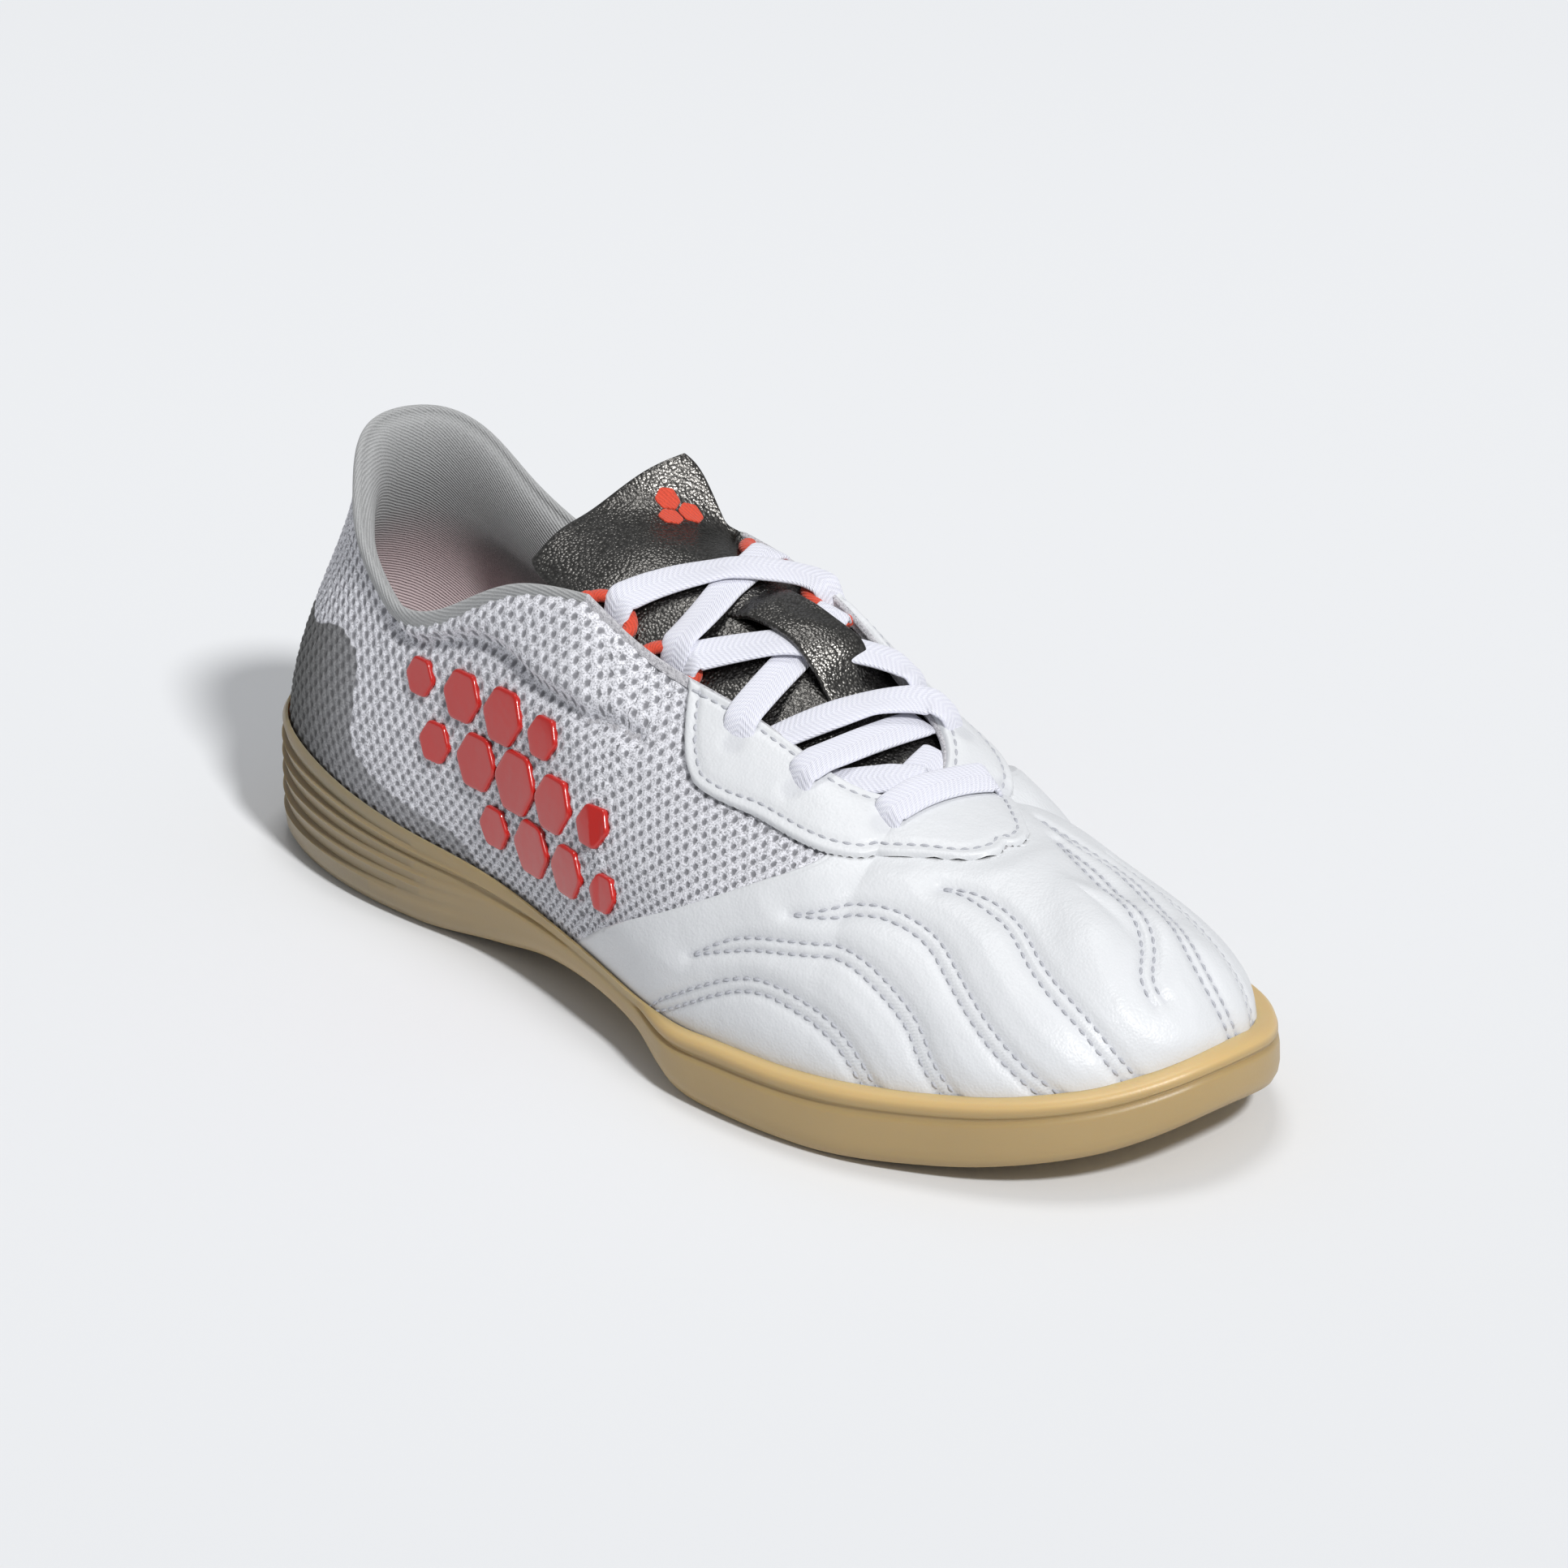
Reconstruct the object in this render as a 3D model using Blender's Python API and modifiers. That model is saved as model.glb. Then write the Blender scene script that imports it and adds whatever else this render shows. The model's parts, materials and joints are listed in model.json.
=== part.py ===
"""Indoor soccer shoe for the right foot, in metres.

The toe points to +X, the lateral side to -Y, and the shoe stands on its sole at z = 0.
The upper, eyestay, tongue, insole and outsole are all read from one last, the surface that
the table LAST gives: each of its sections runs from the feather line, inside the cup of the
sole, up to the top line, which is the collar, the throat's edge or the ridge of the vamp.
"""

from typing import NamedTuple

import bmesh
import bpy
import numpy as np
from mathutils import Vector
from mathutils.bvhtree import BVHTree
from mathutils.kdtree import KDTree

# Driving sizes
SHOE_LENGTH = 0.243
BALL_WIDTH = 0.0905
HEEL_WIDTH = 0.0690
HEEL_HEIGHT = 0.0820
INSTEP_HEIGHT = 0.0720
TOE_HEIGHT = 0.0480
HEEL_WALL = 0.0040
TOE_WALL = 0.0048
SIDE_WALL = 0.0040
UPPER_WALL = 0.0018
COLLAR_PAD = 0.0050
EYESTAY_THICKNESS = 0.0011
TONGUE_THICKNESS = 0.0030
TONGUE_LENGTH = 0.0300
INSOLE_THICKNESS = 0.0040
KEEPER_WIDTH = 0.0115
KEEPER_THICKNESS = 0.0012
LACE_WIDTH = 0.0068
LACE_THICKNESS = 0.0013
LOOP_DIAMETER = 0.0022
EYELET_DIAMETER = 0.0050
GROOVE_WIDTH = 0.0022
GROOVE_DEPTH = 0.0018
CLEARANCE = 0.0003

# Sizes that follow from them
LAST_LENGTH = SHOE_LENGTH - HEEL_WALL - TOE_WALL
LAST_BALL = BALL_WIDTH - 2 * SIDE_WALL
LAST_HEEL = HEEL_WIDTH - 2 * SIDE_WALL

# Mesh steps
STEPS_PER_SECTION = 2
STEPS_UP = 8
STEPS_ACROSS = 4

# The width and height that the sections of each zone follow
ZONES = {
    "heel": (LAST_HEEL, HEEL_HEIGHT),
    "instep": (LAST_BALL, INSTEP_HEIGHT),
    "toe": (LAST_BALL, TOE_HEIGHT),
}


class Section(NamedTuple):
    """A row of the last. along and top_along are shares of LAST_LENGTH, widths and heights those of the zone."""

    zone: str
    along: float
    lateral: float
    medial: float
    top_along: float
    top_lateral: float
    top_medial: float
    lateral_height: float
    medial_height: float
    low_rise: float
    low_flare: float
    high_reach: float
    high_drop: float


LAST = [
    Section("heel", 0.000, 0.000, 0.000, 0.064, 0.000, 0.000, 1.010, 1.010, 0.45, 0.060, 0.03, 0.29),
    Section("heel", 0.010, 0.200, 0.200, 0.076, 0.160, 0.190, 0.985, 0.995, 0.45, 0.059, 0.03, 0.29),
    Section("heel", 0.037, 0.352, 0.350, 0.100, 0.285, 0.315, 0.920, 0.925, 0.44, 0.058, 0.03, 0.29),
    Section("heel", 0.085, 0.452, 0.440, 0.128, 0.367, 0.377, 0.838, 0.820, 0.43, 0.050, 0.03, 0.29),
    Section("heel", 0.159, 0.512, 0.470, 0.172, 0.402, 0.412, 0.757, 0.740, 0.42, 0.048, 0.04, 0.30),
    Section("heel", 0.243, 0.515, 0.450, 0.214, 0.422, 0.428, 0.731, 0.712, 0.40, 0.048, 0.06, 0.30),
    Section("heel", 0.328, 0.502, 0.420, 0.268, 0.420, 0.422, 0.785, 0.758, 0.39, 0.048, 0.08, 0.30),
    Section("instep", 0.408, 0.398, 0.300, 0.334, 0.276, 0.298, 1.015, 0.972, 0.41, 0.052, 0.12, 0.25),
    Section("instep", 0.484, 0.444, 0.320, 0.405, 0.222, 0.256, 1.045, 1.050, 0.43, 0.052, 0.22, 0.16),
    Section("instep", 0.550, 0.486, 0.365, 0.478, 0.200, 0.240, 0.935, 1.030, 0.43, 0.053, 0.28, 0.14),
    Section("instep", 0.611, 0.517, 0.420, 0.553, 0.162, 0.220, 0.870, 0.960, 0.42, 0.050, 0.32, 0.12),
    Section("instep", 0.666, 0.525, 0.464, 0.620, 0.138, 0.190, 0.800, 0.860, 0.43, 0.048, 0.36, 0.10),
    Section("instep", 0.715, 0.521, 0.488, 0.676, 0.105, 0.150, 0.735, 0.765, 0.46, 0.040, 0.42, 0.05),
    Section("instep", 0.762, 0.505, 0.497, 0.703, -0.015, 0.015, 0.705, 0.705, 0.50, 0.034, 0.49, 0.00),
    Section("toe", 0.811, 0.470, 0.489, 0.732, -0.025, 0.025, 1.025, 1.025, 0.52, 0.028, 0.51, 0.00),
    Section("toe", 0.867, 0.404, 0.452, 0.769, -0.035, 0.035, 0.978, 0.978, 0.55, 0.026, 0.53, 0.00),
    Section("toe", 0.919, 0.326, 0.399, 0.806, -0.045, 0.045, 0.935, 0.935, 0.58, 0.025, 0.54, 0.00),
    Section("toe", 0.962, 0.214, 0.314, 0.832, -0.050, 0.050, 0.905, 0.905, 0.60, 0.025, 0.55, 0.00),
    Section("toe", 0.991, 0.070, 0.205, 0.850, -0.055, 0.055, 0.895, 0.895, 0.60, 0.026, 0.56, 0.00),
    Section("toe", 1.000, -0.060, 0.060, 0.857, -0.057, 0.057, 0.890, 0.890, 0.60, 0.027, 0.56, 0.00),
]
THROAT_TOP, THROAT_END, TOE_TIP = 8, 13, len(LAST) - 1


class SoleRow(NamedTuple):
    """A row of the sole at a section of the last. The heights are in metres above the floor."""

    section: float
    ground: float
    floor: float
    lip: float
    wall: float
    ribs: float


SOLE = [
    SoleRow(0.0, 0.0004, 0.0130, 0.0275, 1.00, 1.0),
    SoleRow(3.0, 0.0000, 0.0125, 0.0248, 0.95, 1.0),
    SoleRow(5.0, 0.0000, 0.0120, 0.0195, 0.85, 0.6),
    SoleRow(6.2, 0.0030, 0.0115, 0.0172, 0.70, 0.1),
    SoleRow(7.2, 0.0070, 0.0110, 0.0158, 0.50, 0.0),
    SoleRow(8.2, 0.0080, 0.0105, 0.0150, 0.40, 0.0),
    SoleRow(9.3, 0.0060, 0.0095, 0.0138, 0.45, 0.0),
    SoleRow(10.2, 0.0012, 0.0085, 0.0135, 0.95, 0.0),
    SoleRow(11.0, 0.0000, 0.0080, 0.0142, 1.00, 0.0),
    SoleRow(13.0, 0.0000, 0.0075, 0.0147, 1.00, 0.0),
    SoleRow(15.0, 0.0018, 0.0082, 0.0160, 1.00, 0.0),
    SoleRow(17.0, 0.0062, 0.0112, 0.0190, 1.00, 0.0),
    SoleRow(19.0, 0.0110, 0.0145, 0.0224, 1.00, 0.0),
]


class WallRow(NamedTuple):
    """A ring of the sole's outer wall: its share of the wall's height and its inset, at heel and forefoot."""

    heel_share: float
    heel_inset: float
    front_share: float
    front_inset: float


SOLE_WALL = [
    WallRow(0.00, 0.0034, 0.00, 0.0034),
    WallRow(0.04, 0.0015, 0.08, 0.0012),
    WallRow(0.12, 0.0004, 0.22, 0.0003),
    WallRow(0.26, 0.0000, 0.36, 0.0000),
    WallRow(0.28, 0.0010, 0.46, 0.0000),
    WallRow(0.41, 0.0000, 0.54, 0.0000),
    WallRow(0.43, 0.0010, 0.60, 0.0000),
    WallRow(0.55, 0.0001, 0.66, 0.0001),
    WallRow(0.57, 0.0011, 0.71, 0.0002),
    WallRow(0.69, 0.0002, 0.75, 0.0009),
    WallRow(0.71, 0.0012, 0.79, 0.0009),
    WallRow(0.82, 0.0003, 0.83, 0.0003),
    WallRow(0.84, 0.0013, 0.88, 0.0003),
    WallRow(0.95, 0.0006, 0.95, 0.0006),
    WallRow(1.00, 0.0014, 1.00, 0.0014),
]
LOWEST_BACKED_SHARE = 0.2
LEAST_WALL = 0.0009


class Groove(NamedTuple):
    """A groove of the tread, from side to side at a section, bowed forward in its middle."""

    section: float
    bow: float


GROOVES = [Groove(section, 0.004) for section in (11.2, 11.9, 12.6, 13.3, 14.0, 14.7, 15.4)]
GROOVES += [Groove(section, -0.004) for section in (2.6, 3.6, 4.6)]
GROOVE_STEPS = 5
GROOVE_MARGIN = 0.0060


class EdgeRow(NamedTuple):
    """A place on an overlay's edge: a section and a share of the way up the last."""

    section: float
    share: float


EYESTAY_OUTLINE = [
    EdgeRow(9.5000, 0.900),
    EdgeRow(9.6667, 0.740),
    EdgeRow(10.000, 0.675),
    EdgeRow(10.500, 0.680),
    EdgeRow(11.000, 0.700),
    EdgeRow(12.000, 0.713),
    EdgeRow(13.000, 0.735),
    EdgeRow(14.000, 0.800),
    EdgeRow(14.667, 0.865),
    EdgeRow(15.333, 0.980),
]
EYESTAY_STEPS = 3


class LaceRow(NamedTuple):
    """A pair of lace holes, or of loops, at a section and a share of the way up the last."""

    kind: str
    section: float
    share: float


LACE_ROWS = [
    LaceRow("eyelet", 12.70, 0.850),
    LaceRow("eyelet", 11.20, 0.840),
    LaceRow("eyelet", 10.15, 0.840),
    LaceRow("loop", 9.10, 1.000),
    LaceRow("loop", 8.25, 1.000),
]


class TongueRow(NamedTuple):
    """A row of the tongue: how far its sides run under the upper and how high its middle stands."""

    section: float
    margin: float
    rise: float


TONGUE = [
    TongueRow(8.0, 0.08, 0.0045),
    TongueRow(9.0, 0.11, 0.0040),
    TongueRow(10.0, 0.13, 0.0034),
    TongueRow(11.0, 0.14, 0.0024),
    TongueRow(12.0, 0.15, 0.0008),
    TongueRow(13.0, 0.17, 0.0000),
    TongueRow(14.2, 0.14, 0.0000),
]


class TipRow(NamedTuple):
    """A place across the tongue's tip, from the top line's end at its side, as shares of TONGUE_LENGTH."""

    back: float
    inward: float
    up: float


class KeeperEnd(NamedTuple):
    """An end of the lace keeper: a section, and quarters of the tongue's width past its middle."""

    section: float
    past_middle: float


TIP_LATERAL = TipRow(0.67, 0.045, -0.01)
TIP_MIDDLE = TipRow(0.80, 0.000, 0.15)
TIP_MEDIAL = TipRow(0.72, -0.220, 0.28)
TONGUE_STEPS_ACROSS = 10
TONGUE_STEPS_UP = 4
TONGUE_DEPTH = UPPER_WALL + CLEARANCE + 0.0006

UPPER_STEPS_PER_SECTION = 3
PAD_LOW, PAD_HIGH = 0.60, 0.86
PAD_END, PAD_FADE = 6.2, 1.4
OVERLAY_GAP = 0.0004
INSOLE_EASE = 0.0009
EYELET_SEGMENTS = 12
EYELET_REACH = 0.014
SHARP_ANGLE = 0.6
MERGE_DISTANCE = 0.000002
KEEPER_ENDS = (KeeperEnd(8.70, 0.35), KeeperEnd(10.30, 0.14))
KEPT_CROSSING = 3
KEEPER_RISE = 0.0050
KEEPER_STEPS = 8
KEEPER_FOOT = 0.16
LACE_LIFT = 0.0009
LACE_STEPS = 16
LACE_START_INSET = 0.0030
LACE_LOOP_INSET = 0.0095
LACE_JOIN = 0.0004
LOOP_REACH = 0.0042
LOOP_SPREAD = 0.0062
LOOP_STEPS = 6


def spline(knots, at, closed=False):
    """Cubic spline through rows of numbers that lie one step apart, read at the places in at."""
    knots = np.asarray(knots, float)
    count = len(knots)
    system = np.zeros((count, count))
    pull = np.zeros_like(knots)
    for i in range(count):
        if closed or 0 < i < count - 1:
            before, after = (i - 1) % count, (i + 1) % count
            system[i, i], system[i, before], system[i, after] = 4, 1, 1
            pull[i] = 6 * (knots[before] - 2 * knots[i] + knots[after])
        else:
            system[i, i] = 1
    bend = np.linalg.solve(system, pull)
    at = np.atleast_1d(np.asarray(at, float))
    start = np.floor(at).astype(int)
    if not closed:
        start = np.clip(start, 0, count - 2)
    b = (at - start)[:, None]
    a = 1 - b
    i, j = start % count, (start + 1) % count
    return a * knots[i] + b * knots[j] + ((a**3 - a) * bend[i] + (b**3 - b) * bend[j]) / 6


def loop_of(lateral, medial):
    """Rows from the heel along the lateral side to the toe, and back along the medial side."""
    return np.concatenate([lateral, medial[-2:0:-1]])


def last_tables():
    """The last's rows in metres, as closed loops: feather line, top line and the four forms."""
    feather, top, form = ([], []), ([], []), []
    for row in LAST:
        width, height = ZONES[row.zone]
        for side, sign, low, high, tall in (
            (0, -1, row.lateral, row.top_lateral, row.lateral_height),
            (1, 1, row.medial, row.top_medial, row.medial_height),
        ):
            feather[side].append((row.along * LAST_LENGTH, sign * low * width))
            top[side].append((row.top_along * LAST_LENGTH, sign * high * width, tall * height))
        form.append((row.low_rise, row.low_flare, row.high_reach, row.high_drop))
    form = np.array(form)
    return loop_of(*map(np.array, feather)), tuple(map(np.array, top)), loop_of(form, form)


FEATHER, (TOP_LATERAL, TOP_MEDIAL), FORM = last_tables()
LOOP = len(FEATHER)


def sides_of(stations):
    """For places on the loop, their section number and whether they lie on the medial side."""
    stations = np.asarray(stations, float) % LOOP
    medial = stations > TOE_TIP
    return np.where(medial, LOOP - stations, stations), medial


def sole_at(stations):
    """The columns of SOLE at places on the loop, eased between rows."""
    section, _ = sides_of(stations)
    rows = np.array([row[1:] for row in SOLE])
    places = [row.section for row in SOLE]
    return np.stack([ease(section, places, rows[:, k]) for k in range(rows.shape[1])], axis=1)


def ease(at, places, values):
    """Values at the places, joined by smooth steps that never overshoot."""
    at = np.asarray(at, float)
    i = np.clip(np.searchsorted(places, at, side="right") - 1, 0, len(places) - 2)
    places, values = np.asarray(places), np.asarray(values)
    slope = np.gradient(values, places)
    flat = np.zeros(len(values), bool)
    flat[1:-1] = (values[1:-1] - values[:-2]) * (values[2:] - values[1:-1]) <= 0
    flat[[0, -1]] = True
    slope = np.where(flat, 0, slope)
    gap = places[i + 1] - places[i]
    t = np.clip((at - places[i]) / gap, 0, 1)
    return (
        values[i] * (1 + 2 * t) * (1 - t) ** 2
        + gap * slope[i] * t * (1 - t) ** 2
        + values[i + 1] * t * t * (3 - 2 * t)
        + gap * slope[i + 1] * t * t * (t - 1)
    )


def feather_line(stations):
    """Points where the last meets the floor inside the sole, and the outline's outward directions."""
    stations = np.asarray(stations, float)
    flat = spline(FEATHER, stations, closed=True)
    step = 0.02
    run = spline(FEATHER, stations + step, closed=True) - spline(FEATHER, stations - step, closed=True)
    run /= np.linalg.norm(run, axis=1, keepdims=True)
    out = np.stack([run[:, 1], -run[:, 0], np.zeros(len(run))], axis=1)
    points = np.column_stack([flat, sole_at(stations)[:, 1] + CLEARANCE])
    return points, out


def top_line(stations):
    """Points of the top line, which changes curve at the throat's top and at its end."""
    section, medial = sides_of(stations)
    collar = np.concatenate([TOP_MEDIAL[THROAT_TOP:0:-1], TOP_LATERAL[: THROAT_TOP + 1]])
    throat = np.concatenate(
        [TOP_LATERAL[THROAT_TOP : THROAT_END + 1], TOP_MEDIAL[THROAT_END - 1 : THROAT_TOP - 1 : -1]]
    )
    throat[THROAT_END - THROAT_TOP] = (TOP_LATERAL[THROAT_END] + TOP_MEDIAL[THROAT_END]) / 2
    ridge = (TOP_LATERAL[THROAT_END:] + TOP_MEDIAL[THROAT_END:]) / 2
    signed = np.where(medial, -section, section)
    along_throat = np.where(medial, 2 * THROAT_END - THROAT_TOP - section, section - THROAT_TOP)
    points = spline(collar, signed + THROAT_TOP)
    on_throat = (section > THROAT_TOP) & (section < THROAT_END)
    points[on_throat] = spline(throat, along_throat)[on_throat]
    on_ridge = section >= THROAT_END
    points[on_ridge] = spline(ridge, section - THROAT_END)[on_ridge]
    return points


def ridge_slope(stations):
    """Fall of the vamp's ridge in height for each metre forward."""
    step = 0.02
    section, _ = sides_of(stations)
    section = np.clip(section, THROAT_END + step, TOE_TIP - step)
    run = top_line(section + step) - top_line(section - step)
    return run[:, 2] / run[:, 0]


def section_curves(stations):
    """The four Bezier points of the last's line at each place on the loop."""
    stations = np.asarray(stations, float)
    low, out = feather_line(stations)
    high = top_line(stations)
    rise, flare, reach, drop = spline(FORM, stations, closed=True).T
    section, _ = sides_of(stations)
    away = low - high
    away[:, 2] = 0
    distance = np.linalg.norm(away, axis=1, keepdims=True)
    away = np.where(distance > 1e-6, away / np.maximum(distance, 1e-6), out)
    open_top = section[:, None] < THROAT_TOP + 0.5
    heading = np.where(open_top, out, away)
    tall = (high - low)[:, 2]
    span = np.maximum(distance[:, 0], 0.2 * LAST_HEEL)
    fall = np.where(
        section >= THROAT_END,
        -ridge_slope(stations) * heading[:, 0] * reach * span,
        drop * tall,
    )
    up = np.array([0, 0, 1])
    second = low + up * (rise * tall)[:, None] + out * (flare * LAST_BALL)[:, None]
    third = high + heading * (reach * span)[:, None] - up * fall[:, None]
    return low, second, third, high


def last_points(stations, shares):
    """The last's surface: rows of stations, columns of shares of the way from feather to top line."""
    a, b, c, d = (p[:, None, :] for p in section_curves(stations))
    t = np.asarray(shares, float)
    t = (t if t.ndim == 2 else t[None, :])[:, :, None]
    return a * (1 - t) ** 3 + 3 * b * t * (1 - t) ** 2 + 3 * c * t * t * (1 - t) + d * t**3


def last_normals(stations, shares):
    """Outward directions of the last's surface at the same grid."""
    stations = np.asarray(stations, float)
    step = 0.01
    t = np.asarray(shares, float)
    t = t if t.ndim == 2 else np.tile(t, (len(stations), 1))
    along = last_points(stations + step, t) - last_points(stations - step, t)
    upward = last_points(stations, np.minimum(t + step, 1)) - last_points(stations, np.maximum(t - step, 0))
    normal = np.cross(along, upward)
    return normal / np.maximum(np.linalg.norm(normal, axis=2, keepdims=True), 1e-12)


def stations_between(first, last, per_section=STEPS_PER_SECTION):
    """Evenly spaced places on the loop, both ends included."""
    return np.linspace(first, last, int(round((last - first) * per_section)) + 1)


def share_at_height(stations, heights):
    """The share of the way up the last at which each place on the loop reaches the given height."""
    low, high = np.zeros(len(stations)), np.full(len(stations), 0.8)
    for _ in range(30):
        middle = (low + high) / 2
        under = last_points(stations, middle[:, None])[:, 0, 2] < heights
        low, high = np.where(under, middle, low), np.where(under, high, middle)
    return (low + high) / 2


def last_offset(stations, heights):
    """Points of the last at the given heights, and how far outside the feather line they lie."""
    points = last_points(stations, share_at_height(stations, heights)[:, None])[:, 0]
    feather, out = feather_line(stations)
    return points, ((points - feather) * out).sum(axis=1)


def sole_rings():
    """Rings of the outsole, from the tread's edge up its wall and down the inside of its cup."""
    stations = stations_between(0, LOOP)[:-1]
    section, _ = sides_of(stations)
    feather, out = feather_line(stations)
    ground, floor, lip, wall, ribs = sole_at(stations).T
    thickness = np.interp(section, [0, 4, 16, TOE_TIP], [HEEL_WALL, SIDE_WALL, SIDE_WALL, TOE_WALL]) * wall
    rings = []
    for row in SOLE_WALL:
        share = row.front_share + (row.heel_share - row.front_share) * ribs
        inset = row.front_inset + (row.heel_inset - row.front_inset) * ribs
        height = ground + share * (lip - ground)
        offset = thickness - inset
        if share.min() > LOWEST_BACKED_SHARE:
            _, inner = last_offset(stations, np.maximum(height, floor + CLEARANCE))
            offset = np.maximum(offset, inner + LEAST_WALL)
        rings.append(np.column_stack([(feather + out * offset[:, None])[:, :2], height]))
    for share in (1.0, 0.5):
        height = floor + share * (lip - floor)
        points, _ = last_offset(stations, height)
        rings.append(points + out * CLEARANCE)
    rings.append(np.column_stack([(feather + out * CLEARANCE)[:, :2], floor]))
    return rings


def insole_rings():
    """The insole's lower and upper edge."""
    stations = stations_between(0, LOOP)[:-1]
    feather, out = feather_line(stations)
    edge = feather - out * (UPPER_WALL + INSOLE_EASE)
    upper_edge = edge.copy()
    upper_edge[:, 2] += INSOLE_THICKNESS
    return [edge, upper_edge]


def remove_objects():
    """Empties the scene."""
    for item in list(bpy.data.objects):
        bpy.data.objects.remove(item, do_unlink=True)


def collection(name):
    """A collection of the scene, made when it is first asked for."""
    found = bpy.data.collections.get(name)
    if found is None:
        found = bpy.data.collections.new(name)
        bpy.context.scene.collection.children.link(found)
    return found


def material(name, colour, roughness, metallic=0.0):
    """A Principled material with one colour."""
    made = bpy.data.materials.new(name)
    made.use_nodes = True
    shader = made.node_tree.nodes["Principled BSDF"]
    shader.inputs["Base Color"].default_value = (*colour, 1.0)
    shader.inputs["Roughness"].default_value = roughness
    shader.inputs["Metallic"].default_value = metallic
    return made


def add_object(name, data, finish):
    """Puts a mesh or a curve into the shoe's collection."""
    made = bpy.data.objects.new(name, data)
    if finish is not None:
        data.materials.append(finish)
    collection("indoor_soccer_shoe").objects.link(made)
    return made


def loft(name, rows, closed=False):
    """An open surface through rows of points. A closed one joins its last row to its first."""
    bm = bmesh.new()
    grid = [[bm.verts.new(point) for point in row] for row in rows]
    pairs = list(zip(grid, grid[1:]))
    if closed:
        pairs.append((grid[-1], grid[0]))
    for near, far in pairs:
        for k in range(len(near) - 1):
            bm.faces.new((near[k], far[k], far[k + 1], near[k + 1]))
    bmesh.ops.remove_doubles(bm, verts=bm.verts, dist=MERGE_DISTANCE)
    return finished_mesh(name, bm)


def finished_mesh(name, bm):
    """Turns a bmesh into a smooth shaded mesh."""
    mesh = bpy.data.meshes.new(name)
    bm.to_mesh(mesh)
    bm.free()
    mesh.shade_smooth()
    mesh.set_sharp_from_angle(angle=SHARP_ANGLE)
    return mesh


def fill_across(bm, ring):
    """Fills a ring of vertices with rows of faces from the lateral side to the medial side."""
    half = len(ring) // 2
    rows = [[ring[0]] * (STEPS_ACROSS + 1)]
    for i in range(1, half):
        left, right = ring[i], ring[-i]
        inside = [bm.verts.new(left.co.lerp(right.co, k / STEPS_ACROSS)) for k in range(1, STEPS_ACROSS)]
        rows.append([left, *inside, right])
    rows.append([ring[half]] * (STEPS_ACROSS + 1))
    for near, far in zip(rows, rows[1:]):
        for k in range(STEPS_ACROSS):
            corners = dict.fromkeys((near[k], far[k], far[k + 1], near[k + 1]))
            bm.faces.new(tuple(corners))


def ringed_solid(name, rings):
    """A closed solid through rings, with its first and last ring filled."""
    bm = bmesh.new()
    grid = [[bm.verts.new(point) for point in ring] for ring in rings]
    for lower, upper in zip(grid, grid[1:]):
        for i in range(len(lower)):
            j = (i + 1) % len(lower)
            bm.faces.new((lower[i], lower[j], upper[j], upper[i]))
    fill_across(bm, grid[0])
    fill_across(bm, grid[-1])
    bmesh.ops.recalc_face_normals(bm, faces=bm.faces)
    return finished_mesh(name, bm)


def cut(target, cutter, operation="DIFFERENCE"):
    """Adds a Boolean to target and hides its cutter."""
    modifier = target.modifiers.new(operation.title(), "BOOLEAN")
    modifier.operation = operation
    modifier.solver = "EXACT"
    modifier.object = cutter
    cutter.hide_render = True
    cutter.display_type = "WIRE"
    for home in list(cutter.users_collection):
        home.objects.unlink(cutter)
    collection("cutters").objects.link(cutter)


def solidify(target, thickness, offset, group=None, least=1.0):
    """Gives an open surface its thickness."""
    modifier = target.modifiers.new("Wall", "SOLIDIFY")
    modifier.thickness = thickness
    modifier.offset = offset
    if group:
        modifier.vertex_group = group
        modifier.thickness_vertex_group = least


def applied(target):
    """Replaces an object's mesh with what its modifiers make of it."""
    evaluated = target.evaluated_get(bpy.context.evaluated_depsgraph_get())
    mesh = bpy.data.meshes.new_from_object(evaluated)
    target.modifiers.clear()
    target.data = mesh


def make_groove_cutter():
    """Curved bars that cut the tread's grooves in the forefoot and heel."""
    bm = bmesh.new()
    for row in GROOVES:
        stations = np.array([row.section, LOOP - row.section])
        ends, out = feather_line(stations)
        ends = ends - out * GROOVE_MARGIN
        ground = sole_at(stations)[0, 0]
        shares = np.linspace(0, 1, GROOVE_STEPS + 1)
        middle = ends[0] + (ends[1] - ends[0]) * shares[:, None]
        middle[:, 0] += row.bow * (1 - (2 * shares - 1) ** 2)
        rings = []
        for x, y, _ in middle:
            corners = []
            for along, high in ((-1, -1), (1, -1), (1, 1), (-1, 1)):
                height = ground + GROOVE_DEPTH if high > 0 else ground - GROOVE_DEPTH * 3
                corners.append(bm.verts.new((x + along * GROOVE_WIDTH / 2, y, height)))
            rings.append(corners)
        for near, far in zip(rings, rings[1:]):
            for k in range(4):
                bm.faces.new((near[k], near[(k + 1) % 4], far[(k + 1) % 4], far[k]))
        bm.faces.new(rings[0])
        bm.faces.new(rings[-1])
    bmesh.ops.recalc_face_normals(bm, faces=bm.faces)
    return add_object("groove_cutter", finished_mesh("groove_cutter", bm), None)


def make_outsole(finish):
    """The gum cup sole with its heel ribs, forefoot step, raised waist and tread grooves."""
    made = add_object("outsole", ringed_solid("outsole", sole_rings()), finish)
    cut(made, make_groove_cutter())
    return made


def make_insole(finish):
    """The insole on the floor of the cup."""
    return add_object("insole", ringed_solid("insole", insole_rings()), finish)


def eyelet_places():
    """Station and share of each eyelet, lateral ones first and then their medial partners."""
    lateral = [(row.section, row.share) for row in LACE_ROWS if row.kind == "eyelet"]
    return lateral + [(LOOP - section, share) for section, share in lateral]


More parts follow.
